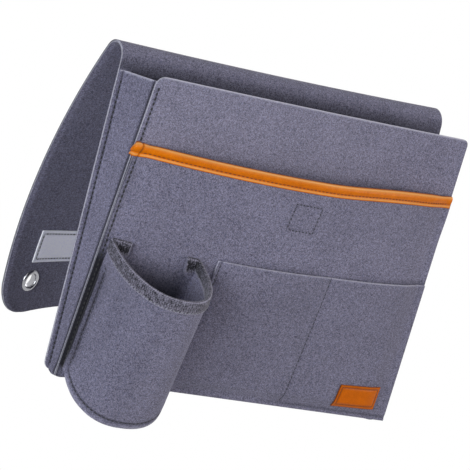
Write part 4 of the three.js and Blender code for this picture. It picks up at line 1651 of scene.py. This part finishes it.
@dataclass
class FrontLayers:
    """Front panel, bound front pocket and divided low pocket with its patch."""

    shop: Workshop
    form: PouchForm
    left_corner: float = 8.0
    right_corner: float = 5.0
    trim_overhang: float = -1.6
    trim_wrap: float = 4.2
    trim_turn: float = 1.1
    trim_row: float = 0.43
    trim_gap: float = 0.08
    trim_bunch: float = 0.6
    bulk_run: float = 14.0
    right_bulk: float = 0.35
    crown: float = 1.2
    pocket_flat: Pair = (0.3248, 0.194)
    fastener: float = 1.2
    fastener_gap: float = 0.1
    patch: tuple[float, float, float, float] = (100.0, 143.5, 9.0, 29.0)
    patch_lean: float = 1.6
    patch_inset: float = 2.4

    def shares(self, count: int) -> list[float]:
        """Columns of a layer, closer at both side seams."""
        near = [d / 152 for d in (0.7, 1.5, 2.3, 3.2, 4.1, 4.9, 6.5, 9, 12, 16)]
        return edged(-1, 1, count, near, 0.003)

    def layer(
        self,
        name: str,
        faces: tuple[Height, Height, Height],
        place: Placing,
        grid: tuple[Sequence[float], Sequence[float]],
        cut: Cut,
    ) -> None:
        """Builds a felt layer.

        Args:
            name: the piece's name.
            faces: its skin, its rear face and its painted shade, by x and z.
            place: x and z at a place of the grid.
            grid: its columns and rows.
            cut: its flat cut.
        """
        skin, rear, mark = faces

        def shade(a: float, b: float) -> float:
            """Share of painted shade at a place of the grid; below 0, painted highlight."""
            return mark(*place(a, b))

        felt = self.shop.finishes.felt
        piece = Bench.slab(name, spread(skin, place), spread(rear, place), *grid, felt, {"pressed": shade})
        self.shop.lay(piece, cut)

    def sew(self, name: str, skin: Height, places: Sequence[Pair], *sizes: float) -> None:
        """Sews a row of dark stitches.

        Args:
            name: the row's name.
            skin: the face that they lie on.
            places: x and z along the row.
            sizes: the stitches' sizes, in the order of a seam's fields.
        """
        line = on_surface(upright(skin), places)
        self.shop.seam(Seam(name, line, self.shop.finishes.dark_thread, *sizes))

    def front_panel(self) -> None:
        """Tall front panel with rounded top corners."""
        form = self.form

        def place(u: float, z: float) -> Pair:
            """Place on the panel by share across and height."""
            radius = self.left_corner if u < 0 else self.right_corner
            return u * (form.half(z) - corner_inset(z - form.height + radius, radius)), z

        corner = self.left_corner
        rows = merged(
            steps(0, form.height - corner, 44),
            [form.height - corner * (1 - math.sin(t)) for t in steps(0, math.pi / 2, 8)],
            [form.height - d for d in (0.7, 1.4, 2.2)],
            least=0.02,
        )
        high = form.height + 1.5
        area = (form.width - form.taper / 2) * high * MM * MM
        cut = Cut(("front_panel",), (form.width * MM, high * MM), Held.STRETCHED, ("side_strip",), area)
        faces = (form.front_skin, form.front_rear, form.front_mark)
        self.layer("front_panel_sheet", faces, place, (self.shares(48), rows), cut)

    def front_pocket(self) -> None:
        """Bowed front pocket whose top edge sags between the side seams."""
        form = self.form
        wide, high, middle = form.square

        def place(u: float, rise: float) -> Pair:
            """Place on the pocket by share across and share of its height."""
            z = rise * form.pocket_height(u * form.pocket_half)
            return u * form.half(z), z

        low = [d / form.pocket_left for d in form.seam_rows]
        near = (-2.2, -1, 0, 1, 2.2)
        square_rows = [(middle + s * high / 2 + d) / 190 for s in (-1, 1) for d in near]
        square_columns = [(s * wide / 2 + d) / form.half(middle) for s in (-1, 1) for d in near]
        rows = merged(low, steps(low[-1], 1, 44), square_rows, least=0.003)
        columns = merged(self.shares(52), square_columns, least=0.003)
        under = ("front_panel_sheet",)
        cut = Cut(("front_pocket_panel",), self.pocket_flat, Held.HUNG, under, 0.0609)
        faces = (form.pocket_skin, form.pocket_rear, form.pocket_mark)
        self.layer("front_pocket_sheet", faces, place, (columns, rows), cut)

    def trim_bulk(self, u: float) -> float:
        """Share of the binding's bulk at its ends: full at the folded left end, less at the right one."""
        end = 1 - ease((1 - min(abs(u), 1.0)) * self.form.pocket_half / self.bulk_run)
        return end if u < 0 else self.right_bulk * end

    def trim_face(self, u: float, leg: float) -> Vector:
        """Binding's inner face over the front pocket's top edge: front leg, round top, rear leg.

        Args:
            u: share across the pocket; beyond -1 the binding turns back round the panels' left edge.
            leg: 0 to 1 up the front leg, 1 to 2 over the edge, 2 to 3 down the rear leg.

        Returns:
            The point.
        """
        form = self.form
        half = form.pocket_half
        x = max(u, -1.0) * half
        top = form.pocket_height(x)
        share = clamp(x / half, -1, 1)

        def reach(z: float) -> float:
            """Place across at a height, which follows the panels' taper."""
            return share * form.half(z) + (x - share * half)

        gap = self.trim_gap
        bulk = self.trim_bulk(u)
        sewn = form.sewn(reach(top), top)
        thick = lerp(sewn, form.felt + self.trim_bunch, bulk)
        if leg <= 1:
            z = top - (form.trim_drop + 0.9 * bulk) * (1 - leg)
            place = Vector((reach(z), form.pocket(reach(z), z) - gap - (thick - sewn) * leg, z))
        elif leg >= 2:
            z = top - form.trim_drop * (leg - 2)
            place = Vector((reach(z), form.pocket_rear(reach(z), z) + gap, z))
        else:
            angle = math.pi * (leg - 1)
            over = thick / 2 + gap
            middle = form.pocket_rear(reach(top), top) - thick / 2
            place = Vector((reach(top), middle - over * math.cos(angle), top + over * math.sin(angle)))
        beyond = max(-1.0 - u, 0.0) * half
        turn = self.trim_turn
        angle = min(beyond / turn, math.pi / 2)
        outside = 1 - ease(leg - 1)
        place.x -= turn * math.sin(angle) * lerp(0.1, 1.0, outside) + 0.02 * beyond
        place.y += (turn * (1 - math.cos(angle)) + max(beyond - turn * math.pi / 2, 0.0)) * outside
        place.z -= 2.2 * ease(beyond / self.trim_wrap) * ease(leg)
        return place

    def trim_side(self, u: float, leg: float, width: float) -> float:
        """Share of the left seam's groove across the binding, by the groove's width."""
        left = (1 + u) * self.form.pocket_half - self.form.stitch_inset
        return groove(left, width) if leg < 1.6 else 0.0

    def trim_press(self, u: float, leg: float) -> float:
        """Share of pressing on the binding: its stitch row and the left seam."""
        row = groove((leg - self.trim_row) * self.form.trim_drop, 0.55) if leg < 1 else 0.0
        return max(row, self.trim_side(u, leg, 0.7))

    def trim_mark(self, u: float, leg: float) -> float:
        """Share of painted shade on the binding at its stitch lines and edges; below 0 a painted highlight
        near its top and along its lower edge.
        """
        seams = max(0.25 * self.trim_press(u, leg), self.trim_side(u, leg, 0.6))
        dark = max(seams, groove(leg - 1.5, 0.12), groove(leg, 0.04))
        # painted highlights: a band near the top and a line just above the lower edge
        painted_highlight = max(0.6 * groove(leg - 1.2, 0.12), 0.42 * groove(leg - 0.2, 0.11))
        return dark - painted_highlight

    def trim_skin(self, u: float, leg: float) -> Vector:
        """Binding's outer face, crowned on the front leg and drawn in at its stitches."""
        close = ease((1 - u) * self.form.pocket_half / 8)
        arch = math.sin(math.pi * clamp((leg - 0.38) / 0.94)) if leg < 1.32 else 0.0
        thick = self.form.binding + self.crown * close * arch - 0.55 * self.trim_press(u, leg)
        return raised(self.trim_face, u, leg, thick)

    def trim(self) -> None:
        """Orange binding folded over the front pocket's top edge, with its stitch row."""
        form = self.form
        legs = merged(
            [0, 0.04, 0.09, 0.15, 0.21, 0.27, 0.33, 0.38, 0.43, 0.48, 0.54],
            steps(0.6, 1, 6),
            steps(1, 2, 12),
            steps(2.25, 3, 3),
        )
        half = form.pocket_half
        ends = [-1 - d / half for d in steps(0.4, self.trim_wrap, 10)]
        last = 1 + self.trim_overhang / half
        across = [u for u in merged(self.shares(64), ends, [last], least=0.002) if u <= last]
        leather = self.shop.finishes.leather
        marks = {"pressed": self.trim_mark}
        name = "pocket_binding"
        piece = Bench.slab(name, self.trim_skin, self.trim_face, across, legs, leather, marks, 0.3)
        under = ("front_pocket_sheet",)
        flat = (0.318, 0.0217)
        self.shop.lay(piece, Cut(("pocket_trim",), flat, Held.FOLDED, under, None, Slot.LEATHER))
        line = on_surface(self.trim_skin, [(u, self.trim_row) for u in steps(-0.97, 0.975, 120)])
        row = Seam("binding_stitches", line, self.shop.finishes.orange_thread, 3.7, 2.3, 1.1, 0.45, -0.05)
        self.shop.seam(row, Body.POUCH, Slot.LEATHER)

    def squares(self) -> None:
        """Fastener squares on the facing layers inside the front pocket, and the stitches that show."""
        form = self.form
        wide, high, middle = form.square
        columns = steps(-wide / 2, wide / 2, 10)
        rows = steps(middle - high / 2, middle + high / 2, 9)
        white = self.shop.finishes.fastener
        near = self.fastener_gap
        far = near + self.fastener
        flat = (wide * 1.01 * MM, high * 1.01 * MM)
        squares = (
            ("closure_loop", form.front, -near, -far, "front_panel_sheet"),
            ("closure_hook", form.pocket_rear, far, near, "front_pocket_sheet"),
        )
        for name, face, first, second, under in squares:
            surfaces = (upright(face, first), upright(face, second))
            piece = Bench.slab(name, *surfaces, columns, rows, white, None, 0.25)
            node = f"{name}_square"
            self.shop.lay(piece, Cut((node,), flat, Held.LAID, (under,), None, Slot.FASTENER))
        outline = loop_line(-wide / 2, wide / 2, middle - high / 2, middle + high / 2, 12)
        self.sew("square_stitches", form.pocket_skin, outline, 3.3, 1.9, 1.0, 0.45)

    def lower_pocket(self) -> None:
        """Low double pocket, sewn through at its divider."""
        form = self.form

        def line_x(column: float, z: float) -> float:
            """Place across of a column: left edge, divider, side seam and right edge are whole numbers."""
            lines = [form.lower_left, form.divider(z), form.seam_x(z), form.half(z)]
            line = min(int(column), len(lines) - 2)
            return lerp(lines[line], lines[line + 1], column - line)

        def place(column: float, rise: float) -> Pair:
            """Place on the pocket by column and share of its height."""
            z = rise * form.lower_top(line_x(column, form.lower_height))
            return line_x(column, z), z

        near = [d / 105 for d in (0.7, 1.5, 3, 6, 10)]
        columns = merged(
            steps(0, 1, 26),
            steps(1, 2, 26),
            [2, 2.2, 2.4, 2.7, 3],
            [d / 110 for d in (1, 1.9, 2.6, 3.3, 4.4, 6, 9)],
            [1 - d for d in near],
            [1 + d for d in near],
            [2 - d for d in near],
            least=0.004,
        )
        low = [d / 114 for d in form.seam_rows]
        rows = merged(low, steps(low[-1], 1, 26), [1 - d / 114 for d in (0.7, 1.4, 2.2)])
        cut = Cut(("lower_pocket_panel",), (0.222, 0.1195), Held.HUNG, ("front_pocket_sheet",), 0.0262)
        faces = (form.lower_skin, form.lower_rear, form.lower_mark)
        self.layer("low_pocket_sheet", faces, place, (columns, rows), cut)
        divider = [(form.divider(z), z) for z in steps(5, 114, 40)]
        self.sew("divider_stitches", form.lower_skin, divider, 3.8, 2.3, 1.0, 0.45)
        hem = form.lower_left + form.lower_hem
        left = [(hem, z) for z in steps(5, 111, 40)]
        self.sew("low_pocket_hem_stitches", form.lower_skin, left, 3.8, 2.5, 1.0, 0.45)

    def patch_piece(self) -> None:
        """Plain leather patch with a sewn border."""
        form = self.form
        x0, x1, z0, z1 = self.patch
        inset = self.patch_inset

        def border(x: float, z: float) -> float:
            """Distance from the patch's edge."""
            return min(x - x0, x1 - x, z - z0, z1 - z)

        def press(x: float, z: float) -> float:
            """Share of pressing along the stitches."""
            return groove(border(x, z) - inset, 0.7)

        def mark(x: float, z: float) -> float:
            """Share of painted shade: the stitch line, and a painted shadow along the edge."""
            return max(0.8 * press(x, z), groove(border(x, z), 0.5))

        def back(x: float, z: float) -> Vector:
            """Face on the felt, which leans down to the left."""
            askew = z - self.patch_lean * (x1 - x) / (x1 - x0)
            return Vector((x, form.lower(x, askew) - LAYER_GAP, askew))

        def face(x: float, z: float) -> Vector:
            """Face that shows."""
            rise = form.binding + 0.35 * ease(border(x, z) / 5) - 0.5 * press(x, z)
            return back(x, z) - Vector((0, rise, 0))

        ends = (0.8, 1.6, 2.4, 3.2, 4.4)
        columns = edged(x0, x1, 16, ends, 0.3)
        rows = edged(z0, z1, 8, ends, 0.3)
        leather = self.shop.finishes.patch_leather
        piece = Bench.slab("bare_patch", face, back, columns, rows, leather, {"pressed": mark}, 0.3)
        flat = ((x1 - x0) * 1.01 * MM, (z1 - z0) * 1.01 * MM)
        under = ("low_pocket_sheet",)
        self.shop.lay(piece, Cut(("leather_patch",), flat, Held.LAID, under, None, Slot.LEATHER))
        line = on_surface(face, loop_line(x0 + inset, x1 - inset, z0 + inset, z1 - inset, 12))
        row = Seam("patch_stitches", line, self.shop.finishes.orange_thread, 3.0, 1.9, 0.8, 0.35, -0.05)
        self.shop.seam(row, Body.POUCH, Slot.LEATHER)

    def side_seams(self) -> None:
        """Stitches of the left and bottom seams on whichever layer lies outside."""
        form = self.form
        trim_top = form.pocket_height(-150) + 3
        high = [(-form.stitch_x(z), z) for z in steps(trim_top, form.height - 8, 20)]
        self.sew("panel_side_stitches", form.front_skin, high, 4.0, 2.5, 1.5, 0.55, -0.1)
        middle = [(-form.stitch_x(z), z) for z in steps(5, trim_top - 13, 50)]
        self.sew("pocket_side_stitches", form.pocket_skin, middle, 4.0, 2.5, 1.5, 0.55, -0.1)
        z = form.bottom_seam
        below = [(x, z) for x in steps(form.divider(z) + 2, form.half(z) - 2, 40)]
        self.sew("bottom_stitches", form.lower_skin, below, 3.6, 2.6, 0.9, 0.4)

    def build(self) -> None:
        """Builds the whole sub-assembly."""
        self.front_panel()
        self.front_pocket()
        self.trim()
        self.squares()
        self.lower_pocket()
        self.patch_piece()
        self.side_seams()


@dataclass
class CupHolder:
    """Cup holder: felt wall, felt base, woven tape over the rim."""

    shop: Workshop
    form: CupForm
    hem: float = 4.2
    base_height: float = 5.0
    stitched: float = 2.08
    tape_gap: float = 0.1
    tab_drop: Pair = (0.5, 2.6)
    legs: list[float] = field(default_factory=list)

    def __post_init__(self) -> None:
        """Places the columns along the wall."""
        half = merged(
            [0, 0.04, 0.1],
            steps(0.25, 1, 3),
            steps(1, 2, 10),
            steps(2, 2.1, 5),
            steps(2.1, 2.2, 5),
            steps(2.2, 2.5, 28),
        )
        self.legs = merged(half, [5 - leg for leg in half])

    def high(self) -> float:
        """Height of the wall between its two ovals."""
        return self.form.rim.height - self.form.foot.height

    def press(self, leg: float, rise: float) -> float:
        """Share of pressing: seam above the lower hem, and the left fold's sewn tuck."""
        part = min(leg, 5 - leg)
        hem = groove(rise * self.high() - self.hem, 0.9) if part > 2.12 else 0.0
        tuck = groove((leg - self.stitched) * 20, 0.7) * self.form.tucked(rise) if 1.9 < leg < 2.16 else 0.0
        return max(hem, 0.8 * tuck)

    def mark(self, leg: float, rise: float) -> float:
        """Share of painted shade: the seams, the left fold with its crease and hollow, and the left half of
        the front; below 0 a painted highlight at the hem.
        """
        tucked = self.form.tucked(rise)
        side = ease((leg - 1.0) / 0.1) * (1 - ease((leg - 1.6) / 0.12)) * tucked
        face = 0.5 * ease((leg - 1.5) / 0.2) * (1 - ease((leg - 2.02) / 0.08)) * tucked
        hollow = 0.7 * groove((leg - 2.15) * 10, 0.5) * tucked
        front = 0.2 * ease((leg - 2.2) / 0.1) * (1 - ease((leg - 2.45) / 0.1))
        # painted highlight near the lower hem
        hem = 0.35 * (1 - ease(rise * self.high() / (0.8 * self.hem))) if 2.1 < leg < 2.9 else 0.0
        return max(0.9 * self.press(leg, rise), side, face, hollow, front) - hem

    def skin(self, leg: float, rise: float) -> Vector:
        """Wall's outer face, drawn in at its seams."""
        return raised(self.form.outer, leg, rise, -0.6 * self.press(leg, rise))

    def wall(self) -> None:
        """Felt wall between its two folds, with its seams."""
        rows = merged([d / self.high() for d in (0, 1.6, 3.2, 4.6, 6, 8, 11)], steps(0.11, 1, 26))
        felt = self.shop.finishes.felt
        marks = {"pressed": self.mark}
        shown = (False, True)
        inner = self.form.inner
        piece = Bench.slab("cup_wall_sheet", self.skin, inner, self.legs, rows, felt, marks, 0.3, shown)
        under = ("front_pocket_sheet",)
        self.shop.lay(piece, Cut(("cup_wall",), (0.200, 0.118), Held.FOLDED, under, 0.0178))
        dark = self.shop.finishes.dark_thread
        share = self.hem / self.high()
        below = on_surface(self.skin, [(leg, share) for leg in steps(2.21, 2.79, 90)])
        self.shop.seam(Seam("cup_hem_stitches", below, dark, 3.9, 2.5, 1.2, 0.5))
        tuck = on_surface(self.skin, [(self.stitched, rise) for rise in steps(0.07, 0.84, 50)])
        self.shop.seam(Seam("cup_tuck_stitches", tuck, dark, 3.9, 2.5, 1.1, 0.45))

    def base_face(self, height: float) -> Surface:
        """Face of the base at a height over the wall's foot, by leg and share forward."""
        form = self.form
        inset = form.felt + LAYER_GAP
        z = form.foot.height + height

        def surface(leg: float, share: float) -> Vector:
            """Point of the face."""
            front = raised(form.outer, leg, height / self.high(), -inset)
            rear = Vector((front.x, form.pouch.pocket(front.x, z) - inset - LAYER_GAP, z))
            return rear.lerp(front, share)

        return surface

    def base(self) -> None:
        """Half oval of felt inside the wall's hem, sloping down to the front."""
        form = self.form
        upright_felt = form.pouch.felt * math.hypot(1, form.foot.dip / form.foot.depth)
        faces = (self.base_face(self.base_height + upright_felt), self.base_face(self.base_height))
        columns = steps(2.23, 2.77, 40)
        felt = self.shop.finishes.felt
        piece = Bench.slab("cup_base_sheet", *faces, columns, steps(0, 1, 10), felt, None, 0.4)
        self.shop.lay(piece, Cut(("cup_base",), (0.086, 0.046), Held.LAID, ("cup_wall_sheet",), 0.0030))

    def tape_face(self, leg: float, wrap: float) -> Vector:
        """Tape's inner face over the rim: outer leg, round top, inner leg."""
        form = self.form
        drop = form.tape_drop / self.high()
        felt, gap = form.felt, self.tape_gap
        if wrap <= 1:
            return raised(form.outer, leg, 1 - drop * (1 - wrap), gap)
        if wrap >= 2:
            tab = 1 - ease((min(leg, 5 - leg) - 0.6) / 0.4)
            longer = self.tab_drop[leg > 2.5] * tab / self.high()
            return raised(form.outer, leg, 1 - (drop + longer) * (wrap - 2), -(felt + gap))
        angle = math.pi * (wrap - 1)
        inwards = -normal_at(form.outer, leg, 1)
        up = (form.outer(leg, 1) - form.outer(leg, 1 - drop)).normalized()
        over = felt / 2 + gap
        inward = inwards * (felt / 2 - over * math.cos(angle))
        return form.outer(leg, 1) + inward + up * (over * math.sin(angle))

    def tape_skin(self, leg: float, wrap: float) -> Vector:
        """Tape's outer face."""
        return raised(self.tape_face, leg, wrap, self.form.tape)

    def tape_light_and_shade(self, leg: float, wrap: float) -> float:
        """Share of painted highlight on the tape's edges and ends; below 0, painted shade on its inner face
        at the tabs and on the right.
        """
        tab = 1 - ease((min(leg, 5 - leg) - 1.3) / 0.5)
        ends = max(groove(leg, 0.06), groove(5 - leg, 0.06))
        rim = max(0.8 * groove(wrap - 1.3, 0.07), 0.9 * tab * groove(wrap - 1.85, 0.14))
        lines = max(groove(wrap, 0.05), rim, groove(wrap - 3, 0.1), ends)
        inside = max(tab, ease((leg - 2.7) / 0.2)) * ease((wrap - 1.5) / 0.2)
        return lines - 0.45 * inside

    def tape(self) -> None:
        """Woven tape folded over the rim, ending on the flanges, with stitches along its lower edge."""
        wraps = merged([0, 0.06, 0.14, 0.3], steps(0.5, 1, 3), steps(1, 2, 12), steps(2.33, 3, 2))
        finish = self.shop.finishes.tape
        marks = {"tape_light_and_shade": self.tape_light_and_shade}
        piece = Bench.slab("cup_tape", self.tape_skin, self.tape_face, self.legs, wraps, finish, marks, 0.2)
        under = ("cup_wall_sheet",)
        flat = (0.200, 0.0205)
        self.shop.lay(piece, Cut(("cup_binding_tape",), flat, Held.FOLDED, under, None, Slot.TAPE))
        line = on_surface(self.tape_skin, [(leg, 0.13) for leg in steps(2.21, 2.79, 140)])
        row = Seam("tape_stitches", line, self.shop.finishes.pale_thread, 3.2, 1.7, 0.7, 0.35, -0.02)
        self.shop.seam(row, Body.POUCH, Slot.TAPE)

    def build(self) -> None:
        """Builds the whole sub-assembly."""
        self.wall()
        self.base()
        self.tape()


# Studio


@dataclass(frozen=True)
class Lamp:
    """A soft square lamp: direction, side in metres, power in watts, colour, and distance in metres."""

    name: str
    towards: tuple[float, float, float]
    size: float
    power: float
    colour: tuple[float, float, float]
    distance: float = 1.8


@dataclass
class Studio:
    """Camera at the photograph's viewing angle, white surroundings, pale floor and soft lamps."""

    target: Vector = field(default_factory=lambda: Vector((-14.901, 0.0, 128.170)))
    yaw: float = 0.6106
    elevation: float = 0.1135
    roll: float = 0.2536
    distance: float = 2391.57
    focal_px: float = 3004.1
    image_px: float = 470.0
    sensor: float = 36.0
    floor_drop: float = 0.30
    lamps: tuple[Lamp, ...] = (
        Lamp("left", (-0.877, -0.472, 0.087), 0.9, 24.6, (0.91, 0.955, 1.0)),
        Lamp("front", (0.140, -0.986, 0.087), 0.8, 6.7, (1.0, 0.99, 0.98)),
        Lamp("right", (0.763, -0.640, 0.087), 0.8, 10.1, (1.0, 0.985, 0.975)),
        Lamp("top", (0.5, -0.16, 0.851), 0.8, 10.2, (1.0, 1.0, 1.0)),
        Lamp("back", (0.25, 0.92, 0.30), 0.9, 16.0, (1.0, 1.0, 1.0)),
    )

    def camera(self) -> None:
        """Places the camera."""
        back = Vector((
            -math.sin(self.yaw) * math.cos(self.elevation),
            -math.cos(self.yaw) * math.cos(self.elevation),
            math.sin(self.elevation),
        ))
        right = Vector((math.cos(self.yaw), -math.sin(self.yaw), 0))
        down = (-back).cross(right)
        side = right * math.cos(self.roll) - down * math.sin(self.roll)
        drop = right * math.sin(self.roll) + down * math.cos(self.roll)
        data = bpy.data.cameras.new("photo_camera")
        data.sensor_width = self.sensor
        data.sensor_fit = "HORIZONTAL"
        data.lens = self.focal_px / self.image_px * self.sensor
        data.clip_end = 50.0
        eye = in_scene("photo_camera", data)
        turn = Matrix((side, -drop, back)).transposed().to_4x4()
        eye.matrix_world = Matrix.Translation(to_frame(self.target + back * self.distance)) @ turn
        bpy.context.scene.camera = eye

    def light(self, lamp: Lamp) -> None:
        """Hangs a lamp that looks at the object."""
        data = bpy.data.lights.new(lamp.name, "AREA")
        data.size = lamp.size
        data.energy = lamp.power
        data.color = lamp.colour
        hung = in_scene(lamp.name, data)
        towards = Vector(lamp.towards)
        place = to_frame(self.target) + towards.normalized() * lamp.distance
        turn = towards.to_track_quat("Z", "Y").to_matrix().to_4x4()
        hung.matrix_world = Matrix.Translation(place) @ turn

    def split(self, shader: Shader, lit: Any, seen: Any) -> Any:
        """Mixes two shaders.

        Args:
            shader: the tree that both are in.
            lit: node that gives light to the object.
            seen: node for rays that look at the background, straight or in metal.

        Returns:
            The mix's output.
        """
        path = shader.node("ShaderNodeLightPath").outputs
        straight = shader.value(path["Is Camera Ray"])
        mirrored = shader.value(path["Is Glossy Ray"])
        share = straight.larger(mirrored).larger(shader.value(path["Is Transmission Ray"]))
        sockets = {0: share, 1: lit.outputs[0], 2: seen.outputs[0]}
        return shader.node("ShaderNodeMixShader", None, sockets).outputs[0]

    def surroundings(self) -> None:
        """White surroundings that light the object softly, and a pale floor below it."""
        world = bpy.data.worlds.new("surroundings")
        world.use_nodes = True
        bpy.context.scene.world = world
        shader = Shader(world.node_tree)
        plain = {"Color": (1.0, 1.0, 1.0, 1.0), "Strength": 1.0}
        soft = shader.node("ShaderNodeBackground", None, {"Color": (0.93, 0.95, 1.0, 1.0), "Strength": 0.03})
        white = shader.node("ShaderNodeBackground", None, plain)
        shader.node("ShaderNodeOutputWorld", None, {"Surface": self.split(shader, soft, white)})
        bpy.ops.mesh.primitive_plane_add(size=8.0, location=(0, 0, CAD_BOX[0][2] - self.floor_drop))
        floor = bpy.context.object
        floor.name = "pale_floor"
        material, shader = new_material("pale_floor")
        matt = shader.node("ShaderNodeBsdfDiffuse", None, {"Color": (0.45, 0.45, 0.46, 1.0)})
        glow = shader.node("ShaderNodeEmission", None, plain)
        shader.node("ShaderNodeOutputMaterial", None, {"Surface": self.split(shader, matt, glow)})
        floor.data.materials.append(material)

    def build(self) -> None:
        """Sets up the whole studio."""
        self.camera()
        self.surroundings()
        for lamp in self.lamps:
            self.light(lamp)
        bpy.context.scene.view_settings.view_transform = "Standard"


def main() -> None:
    """Builds the studio and every sub-assembly."""
    logging.basicConfig(level=logging.INFO, format="%(name)s: %(message)s")
    Studio().build()
    shop = Workshop(Finishes(), Bench.stitch_shape())
    pouch = PouchForm()
    SideStrip(shop, pouch).build()
    FrontLayers(shop, pouch).build()
    CupHolder(shop, CupForm(pouch)).build()
    BodySheet(shop, FlapForm()).build()


if __name__ == "__main__":
    main()
